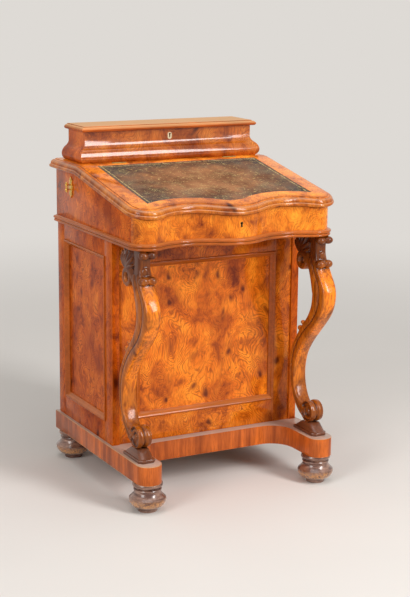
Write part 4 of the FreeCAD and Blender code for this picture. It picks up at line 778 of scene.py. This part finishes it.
def acanthus_leaf(side, vein):
    """Plump lobes that fan out from above the upper scroll over a swelling ground, on one face of the head."""
    x, y, z = LEAF_GROUND
    forms = [ellipsoid((side * x, y, z), LEAF_GROUND_HALF)]
    x, y, z = LEAF_BASE
    for degrees, length in LEAF_LOBES:
        a = math.radians(degrees)
        middle = (side * x, y + 0.55 * length * math.cos(a), z + 0.55 * length * math.sin(a))
        forms.append(ellipsoid(middle, (vein, vein, 0.52 * length), a - math.pi / 2))
    return forms


def carved_support_mesh(props):
    """All forms of a support, before they are made one surface."""
    relief = props.relief / MM
    forms = [
        skinned([cross_section(s, SECTION_POINTS) for s in smooth_path(BODY_STATIONS, BODY_ROWS)]),
        upright_block(NECK, 24),
        upright_block(WEB, 20),
        drum(VOLUTE, spiral_face, props.turns, relief, props.lobe_groove / MM),
        drum(UPPER_SCROLL, curl_face, 0.0, relief * CURL_DEPTH, 0.0),
    ]
    for y, z, rear, high in COLLARS:
        forms.append(ellipsoid((0, y + rear, z), (*COLLAR_ROLL, high)))
        forms += [ellipsoid((side * LOBE_ASIDE, y, z), (*COLLAR_LOBE, high + LOBE_PROUD)) for side in SIDES]
    forms.append(ellipsoid(TONGUE, TONGUE_HALF, TONGUE_LEAN))
    roll = smooth_path(ROLL, 60)
    forms += [tube([(side * (ROLL_OUTSIDE - r), y, z) for y, z, r in roll], [r for _, _, r in roll])
              for side in SIDES]
    for y, z, radius in KNOPS:
        forms.append(ellipsoid((0, y, z), (KNOP_STEM, radius * 0.8, radius * 0.8)))
        forms += [ellipsoid((side * KNOP_ASIDE, y, z), (radius * 1.1, radius, radius)) for side in SIDES]
    for side in SIDES:
        forms += acanthus_leaf(side, props.vein / MM)
    mesh = joined(forms, "support_forms")
    top = SUPPORT_SIZE[Z] - TOP_CLEARANCE
    for v in mesh.vertices:
        v.co.z = min(v.co.z, top)
    return mesh


def remeshed(mesh, grid, smoothing):
    """One closed surface over overlapping forms, on a grid of that size."""
    carrier = linked("carrier", mesh)
    remesh = carrier.modifiers.new("one surface", "REMESH")
    remesh.mode = "VOXEL"
    remesh.voxel_size = grid
    smooth = carrier.modifiers.new("sanded", "SMOOTH")
    smooth.factor = 0.5
    smooth.iterations = smoothing
    return evaluated_mesh(carrier)


WAX_SPREAD = 4  # how often a depth is shared out among its neighbours
WAX_GAIN = 16  # how fast the wax darkens with depth
WAX_START = 0.05


def paint_hollows(mesh, grid):
    """Store how far each point lies below its smoothed surroundings, for dark wax in the hollows."""
    bm = bmesh.new()
    bm.from_mesh(mesh)
    depth = [0.0] * len(bm.verts)
    for v in bm.verts:
        near = [e.other_vert(v).co for e in v.link_edges]
        mean = sum(near, Vector()) / len(near)
        depth[v.index] = (mean - v.co).dot(v.normal) / grid
    for _ in range(WAX_SPREAD):
        depth = [(depth[v.index] + sum(depth[e.other_vert(v).index] for e in v.link_edges))
                 / (1 + len(v.link_edges)) for v in bm.verts]
    bm.free()
    layer = mesh.attributes.new(HOLLOW, "FLOAT", "POINT")
    layer.data.foreach_set("value", [min(1.0, max(0.0, d * WAX_GAIN - WAX_START)) for d in depth])


# ---- Repeats made with Geometry Nodes ---------------------------------------
def repeat_tree(name, source):
    """A tree that puts copies of one mesh on the points it is given, then makes them real."""
    tree = bpy.data.node_groups.new(name, "GeometryNodeTree")
    for socket, way, kind in (("Geometry", "INPUT", "Geometry"), ("Scale", "INPUT", "Float"),
                              ("Finish", "INPUT", "Material"), ("Geometry", "OUTPUT", "Geometry")):
        tree.interface.new_socket(socket, in_out=way, socket_type="NodeSocket" + kind)
    given = add(tree, "NodeGroupInput")
    copy = add(tree, "GeometryNodeObjectInfo", {"Object": source})
    turn = add(tree, "GeometryNodeInputNamedAttribute", {"Name": "turn"}, data_type="FLOAT_VECTOR")
    spin = add(tree, "FunctionNodeEulerToRotation", {0: turn.outputs[0]})
    instances = add(tree, "GeometryNodeInstanceOnPoints", {
        "Points": given.outputs["Geometry"], "Instance": copy.outputs["Geometry"],
        "Rotation": spin.outputs[0], "Scale": given.outputs["Scale"]})
    real = add(tree, "GeometryNodeRealizeInstances", {"Geometry": instances.outputs[0]})
    coated = add(tree, "GeometryNodeSetMaterial", {"Geometry": real.outputs[0], "Material": given.outputs["Finish"]})
    add(tree, "NodeGroupOutput", {"Geometry": coated.outputs[0]})
    return tree


def repeated(name, bm, places, turns, nodes, key, body=None, slot=None):
    """Copies of a small shape at given places and turns, as one finished piece."""
    source = linked(name + "_source", to_mesh(bm, name + "_source"))
    points = bpy.data.meshes.new(name + "_points")
    points.from_pydata(places, [], [])
    layer = points.attributes.new("turn", "FLOAT_VECTOR", "POINT")
    layer.data.foreach_set("vector", [c for turn in turns for c in turn])
    holder = linked(name + "_holder", points)
    modifier = holder.modifiers.new("repeat", "NODES")
    modifier.node_group = repeat_tree(name + " repeat", source)
    sockets = {item.name: item.identifier for item in modifier.node_group.interface.items_tree
               if item.in_out == "INPUT"}
    modifier[sockets["Scale"]] = 1.0
    modifier[sockets["Finish"]] = material_named(key)
    mesh = evaluated_mesh(holder)
    bpy.data.objects.remove(source)
    mesh.materials.clear()
    return finished(name, mesh, nodes, (key,), body, slot)


def screw_head(props):
    """A domed screw head with a slot across it, its axis along Z and its seat at zero."""
    r = props.screw_radius
    dome = props.screw_dome
    bm = turned([(0, -dome * 0.5), (r, -dome * 0.5), (r, 0), (r * 0.92, dome * 0.4), (r * 0.6, dome * 0.85),
                 (r * 0.25, dome), (0, dome)], 24)
    for v in bm.verts:
        if abs(v.co.y) < props.screw_slot * 0.7 and v.co.z > 0:
            v.co.z = dome * 0.25
    return bm


# ---- Operators --------------------------------------------------------------
# CAD nodes of each kind of board, its arris, the material of its faces and the material of its arris.
BOARDS = (
    # The base's rounded edges take the pale arris colour: wear, and in part painted highlight.
    ("base_left_runner base_right_runner base_front_rail base_rear_rail", "base_arris", "base", "worn arris"),
    ("plinth_block_left plinth_block_right", "base_arris", "plinth", "plinth"),
    ("front_frame", "arris", "burr frame", "arris"),
    ("front_panel", None, "burr front"),
    ("front_panel_moulding", None, "moulding"),
    ("left_side_frame", "arris", "burr stile", "arris"),
    ("left_side_panel", None, "burr side"),
    ("left_side_moulding", None, "moulding"),
    ("right_side_frame", "arris", "burr stile", "arris"),
    ("back_panel", "arris", "side", "arris"),
    ("desk_left_cheek desk_right_cheek", "arris", "burr cheek", "arris"),
    ("desk_front", None, "burr box"),
    ("desk_back", "arris", "side", "arris"),
    ("waist_moulding", None, "moulding"),
    ("rear_shelf slope_lid", None, "burr lid"),
    ("stationery_front", None, "burr case"),
    ("stationery_left_end stationery_right_end", None, "burr cheek"),
    ("stationery_back", "arris", "side", "arris"),
    ("stationery_lid", None, "case lid"),
    ("drawer_1_front drawer_2_front drawer_3_front drawer_4_front", "arris", "burr front", "arris"),
)
INSIDE = (
    ("dust_boards", "pine"),
    ("desk_bottom", "burr cheek"),
    ("drawer_1_box drawer_2_box drawer_3_box drawer_4_box", "pine"),
    ("interior_drawer_case interior_drawer_left interior_drawer_right pen_tray", "maple"),
    ("fixed_hinge_leaves slope_hinge_leaves stationery_hinge_leaves lock_cases desk_lock_bolt stationery_lock_bolt",
     "patina"),
)
FEET = ("foot_front_left", "foot_front_right", "foot_rear_left", "foot_rear_right")
# Turned outlines: (share of the greatest radius, share of the height).
FOOT_OUTLINE = ((0, 0), (0.50, 0), (0.53, 0.02), (0.53, 0.14), (0.60, 0.155), (0.78, 0.19), (0.90, 0.26),
                (0.975, 0.35), (1.0, 0.43), (0.985, 0.48), (0.91, 0.525), (0.82, 0.58), (0.75, 0.64),
                (0.72, 0.69), (0.72, 0.73), (0.745, 0.745), (0.755, 0.775), (0.735, 0.795), (0.66, 0.805),
                (0.63, 0.83), (0.64, 0.86), (0.72, 0.875), (0.80, 0.885), (0.825, 0.915), (0.82, 0.96),
                (0.79, 1.0), (0, 1.0))
KNOB_OUTLINE = ((0, 0), (0.72, 0), (0.72, 0.06), (0.62, 0.09), (0.60, 0.14), (0.52, 0.24), (0.50, 0.36),
                (0.62, 0.46), (0.86, 0.54), (0.97, 0.62), (1.0, 0.70), (0.96, 0.79), (0.84, 0.85),
                (0.80, 0.86), (0.66, 0.93), (0.40, 0.985), (0.18, 1.0), (0, 1.0))
FOOT_TURN = 0.6  # each foot is turned on from the one before, so that no two show the same facets
PLATE_THICKNESS = 2.0 * MM
SCREW_REACH = 0.31  # share of the plate's height from its middle to a screw


class DESK_OT_woodwork(bpy.types.Operator):
    """Finish the boards, rails, panels and mouldings, with their edges rounded"""

    bl_idname = "desk.woodwork"
    bl_label = "Woodwork"

    def execute(self, context):
        for nodes, arris, *materials in BOARDS:
            width = getattr(context.scene.desk_joinery, arris) if arris else 0
            for node in nodes.split():
                rounded_copy(node, width, materials)
        return {"FINISHED"}


class DESK_OT_inside_work(bpy.types.Operator):
    """Give the hidden boards, drawer boxes and small fittings their plain woods"""

    bl_idname = "desk.inside_work"
    bl_label = "Inside work"

    def execute(self, context):
        for nodes, key in INSIDE:
            for node in nodes.split():
                mesh = frame["nodes"][node].data
                mesh.materials.clear()
                mesh.materials.append(material_named(key))
        return {"FINISHED"}


class DESK_OT_feet(bpy.types.Operator):
    """Turn the four feet, each with a pad, a bulge, a neck and a collar"""

    bl_idname = "desk.feet"
    bl_label = "Feet"

    def execute(self, context):
        low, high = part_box(FEET[0])
        runner_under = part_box("base_left_runner")[0].z
        bulge = (high.x - low.x) / 2
        profile = [(r * bulge, low.z + h * (runner_under - low.z)) for r, h in FOOT_OUTLINE]
        places = []
        for name in FEET:
            foot_low, foot_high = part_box(name)
            middle = (foot_low + foot_high) / 2
            places.append((middle.x, middle.y, 0.0))
        turns = [(0, 0, FOOT_TURN * k) for k in range(len(FEET))]
        foot = turned(profile, context.scene.desk_hardware.turning_steps)
        repeated("turned_feet", foot, places, turns, FEET, "foot")
        return {"FINISHED"}


class DESK_OT_supports(bpy.types.Operator):
    """Carve the two scroll supports, one the mirror image of the other"""

    bl_idname = "desk.supports"
    bl_label = "Scroll supports"

    def execute(self, context):
        props = context.scene.desk_supports
        grid = props.carving_grid / MM
        carved = remeshed(carved_support_mesh(props), grid, 3)
        paint_hollows(carved, grid)
        for node, side in (("scroll_support_right", 1), ("scroll_support_left", -1)):
            low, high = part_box(node)
            wide, deep, tall = (size / nominal for size, nominal in zip(high - low, SUPPORT_SIZE))
            mesh = carved.copy()
            mesh.transform(Matrix.Translation(((low.x + high.x) / 2, low.y, low.z))
                           @ Matrix.Diagonal((side * wide, deep, tall, 1.0)))
            if side < 0:
                mesh.flip_normals()
            finished(node + "_carved", mesh, [node], ("carving",), sharp_edges=False)
        return {"FINISHED"}


class DESK_OT_knobs(bpy.types.Operator):
    """Turn the pair of knobs on each side drawer"""

    bl_idname = "desk.knobs"
    bl_label = "Drawer knobs"

    def execute(self, context):
        steps = context.scene.desk_hardware.turning_steps
        for number in (1, 2, 3, 4):
            node = f"drawer_{number}_knobs"
            low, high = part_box(node)
            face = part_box(f"drawer_{number}_front")[1].x
            radius = (high.z - low.z) / 2
            profile = [(r * radius, h * (high.x - face)) for r, h in KNOB_OUTLINE]
            middle_z = (low.z + high.z) / 2
            places = [(face, low.y + radius, middle_z), (face, high.y - radius, middle_z)]
            knob = turned(profile, steps, "X")
            repeated(node + "_turned", knob, places, [(0, 0, 0)] * 2, [node], "plinth")
        return {"FINISHED"}


class DESK_OT_leather(bpy.types.Operator):
    """Lay the writing leather in the sloping lid"""

    bl_idname = "desk.leather"
    bl_label = "Writing leather"

    def execute(self, context):
        rounded_copy("writing_leather", 0, ("leather",))
        return {"FINISHED"}


class DESK_OT_brassware(bpy.types.Operator):
    """Finish the bracket, keyhole plates and screws"""

    bl_idname = "desk.brassware"
    bl_label = "Brassware"

    def execute(self, context):
        rounded_copy("candle_plate", 0.3 * MM, ("brass", "brass"))
        rounded_copy("candle_swivel", 0, ("brass",))
        # The front keyhole has a brass liner, the rear one a bone plate.
        plates = rounded_copy("keyhole_escutcheons", 0, ("bone", "patina"))
        middle_y = sum(corner.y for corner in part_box("keyhole_escutcheons")) / 2
        for polygon in plates.data.polygons:
            polygon.material_index = 1 if polygon.center.y < middle_y else 0
        low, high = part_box("candle_plate")
        middle = (low + high) / 2
        reach = (high.z - low.z) * SCREW_REACH
        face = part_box("desk_left_cheek")[0].x - PLATE_THICKNESS
        places = [(face, middle.y, middle.z + side * reach) for side in SIDES]
        turns = [(0, -math.pi / 2, 0.5 + side) for side in SIDES]
        screw = screw_head(context.scene.desk_hardware)
        repeated("bracket_screws", screw, places, turns, [], "brass", body="carcase", slot="brass")
        return {"FINISHED"}


# Place, width, height and power of each lamp, all of which face the middle of the desk.
LAMPS = (
    ("key lamp", (1.5, -3.1, 2.4), 1.0, 2.6, "key"),
    ("fill lamp", (-3.4, -1.6, 1.9), 1.4, 2.6, "fill"),
    ("top lamp", (-0.3, -0.4, 3.6), 2.6, 2.6, "top"),
)
LIT_MIDDLE = Vector((0, 0, 0.45))
FLOOR_REACH = 250.0
CAMERA_PLACE = (-1.5993, -3.0557, 1.1991)
CAMERA_YAW = -0.4907
CAMERA_PITCH = 0.21897
CAMERA_ROLL = 0.01027
CAMERA_LENS = 87.78


def floor_material(colour):
    """A pale floor that runs, far from the desk, into a plain backdrop, which lights nothing."""
    paint = Paint("plain pale floor", 0.9)
    mottle = paint.noise(paint.place(), 0.5)
    paint.coloured(paint.ramp(mottle, (0.3, darker(colour, 0.97)), (0.7, colour)))
    distance = paint.node("VectorMath", {0: paint.place()}, operation="LENGTH").outputs["Value"]
    seen = paint.calc("MULTIPLY", paint.span(distance, 0.6, 3.5, kind="SMOOTHSTEP"), direct_rays(paint.tree))
    plain = paint.node("Emission", {"Color": rgba(colour), "Strength": 1.0}).outputs[0]
    surface = paint.node("MixShader", {0: seen, 1: paint.shader.outputs[0], 2: plain}).outputs[0]
    paint.tree.links.new(surface, paint.output.inputs["Surface"])
    return paint.material


def studio_world(colour, strength):
    """Light from all round, behind which the rays that show the backdrop see the floor's own colour."""
    world = bpy.data.worlds.new("studio")
    world.use_nodes = True
    tree = world.node_tree
    tree.nodes.clear()
    light, backdrop = (add(tree, "ShaderNodeBackground", {"Color": rgba(colour), "Strength": power}).outputs[0]
                       for power in (strength, 1.0))
    seen = add(tree, "ShaderNodeMixShader", {0: direct_rays(tree), 1: light, 2: backdrop})
    add(tree, "ShaderNodeOutputWorld", {"Surface": seen.outputs[0]})
    return world


class DESK_OT_stage(bpy.types.Operator):
    """Lay the pale floor, hang the lamps and set up the camera"""

    bl_idname = "desk.stage"
    bl_label = "Floor, lamps and camera"

    def execute(self, context):
        scene = context.scene
        props = scene.desk_stage
        bm = bmesh.new()
        bmesh.ops.create_grid(bm, x_segments=1, y_segments=1, size=FLOOR_REACH)
        floor = linked("floor", to_mesh(bm, "floor"))
        floor.data.materials.append(floor_material(props.floor))
        scene.world = studio_world(props.floor, props.sky)

        for name, place, width, height, power in LAMPS:
            lamp = bpy.data.lights.new(name, "AREA")
            lamp.shape = "RECTANGLE"
            lamp.size = width
            lamp.size_y = height
            lamp.energy = getattr(props, power)
            holder = linked(name, lamp)
            holder.location = place
            holder.rotation_euler = (LIT_MIDDLE - Vector(place)).to_track_quat("-Z", "Y").to_euler()

        camera = linked("camera", bpy.data.cameras.new("camera"))
        camera.data.sensor_width = 36.0
        camera.data.lens = CAMERA_LENS
        camera.matrix_world = (
            Matrix.Translation(CAMERA_PLACE) @ Matrix.Rotation(CAMERA_YAW, 4, "Z")
            @ Matrix.Rotation(math.pi / 2 - CAMERA_PITCH, 4, "X") @ Matrix.Rotation(CAMERA_ROLL, 4, "Z"))
        scene.camera = camera
        scene.view_settings.view_transform = "Standard"
        return {"FINISHED"}


class DESK_PT_panel(bpy.types.Panel):
    """Sizes, colours and build steps of the desk"""

    bl_idname = "DESK_PT_panel"
    bl_label = "Davenport desk"
    bl_space_type = "VIEW_3D"
    bl_region_type = "UI"
    bl_category = "Desk"

    def draw(self, context):
        layout = self.layout
        for group in GROUPS:
            box = layout.box()
            box.label(text=group.removeprefix("desk_").capitalize())
            values = getattr(context.scene, group)
            for name in values.bl_rna.properties.keys():
                if name not in ("rna_type", "name"):
                    box.prop(values, name)
        for operator in OPERATORS:
            layout.operator(operator.bl_idname)


GROUPS = {
    "desk_finish": DESK_PG_finish, "desk_joinery": DESK_PG_joinery, "desk_supports": DESK_PG_supports,
    "desk_hardware": DESK_PG_hardware, "desk_stage": DESK_PG_stage,
}
OPERATORS = (DESK_OT_woodwork, DESK_OT_inside_work, DESK_OT_feet, DESK_OT_supports, DESK_OT_knobs,
             DESK_OT_leather, DESK_OT_brassware, DESK_OT_stage)


def register():
    for name, group in GROUPS.items():
        bpy.utils.register_class(group)
        setattr(bpy.types.Scene, name, PointerProperty(type=group))
    for cls in (*OPERATORS, DESK_PT_panel):
        bpy.utils.register_class(cls)


def unregister():
    for cls in (DESK_PT_panel, *reversed(OPERATORS)):
        bpy.utils.unregister_class(cls)
    for name, group in reversed(GROUPS.items()):
        delattr(bpy.types.Scene, name)
        bpy.utils.unregister_class(group)


def main():
    register()
    for operator in OPERATORS:
        group, name = operator.bl_idname.split(".")
        getattr(getattr(bpy.ops, group), name)()


if __name__ == "__main__":
    main()
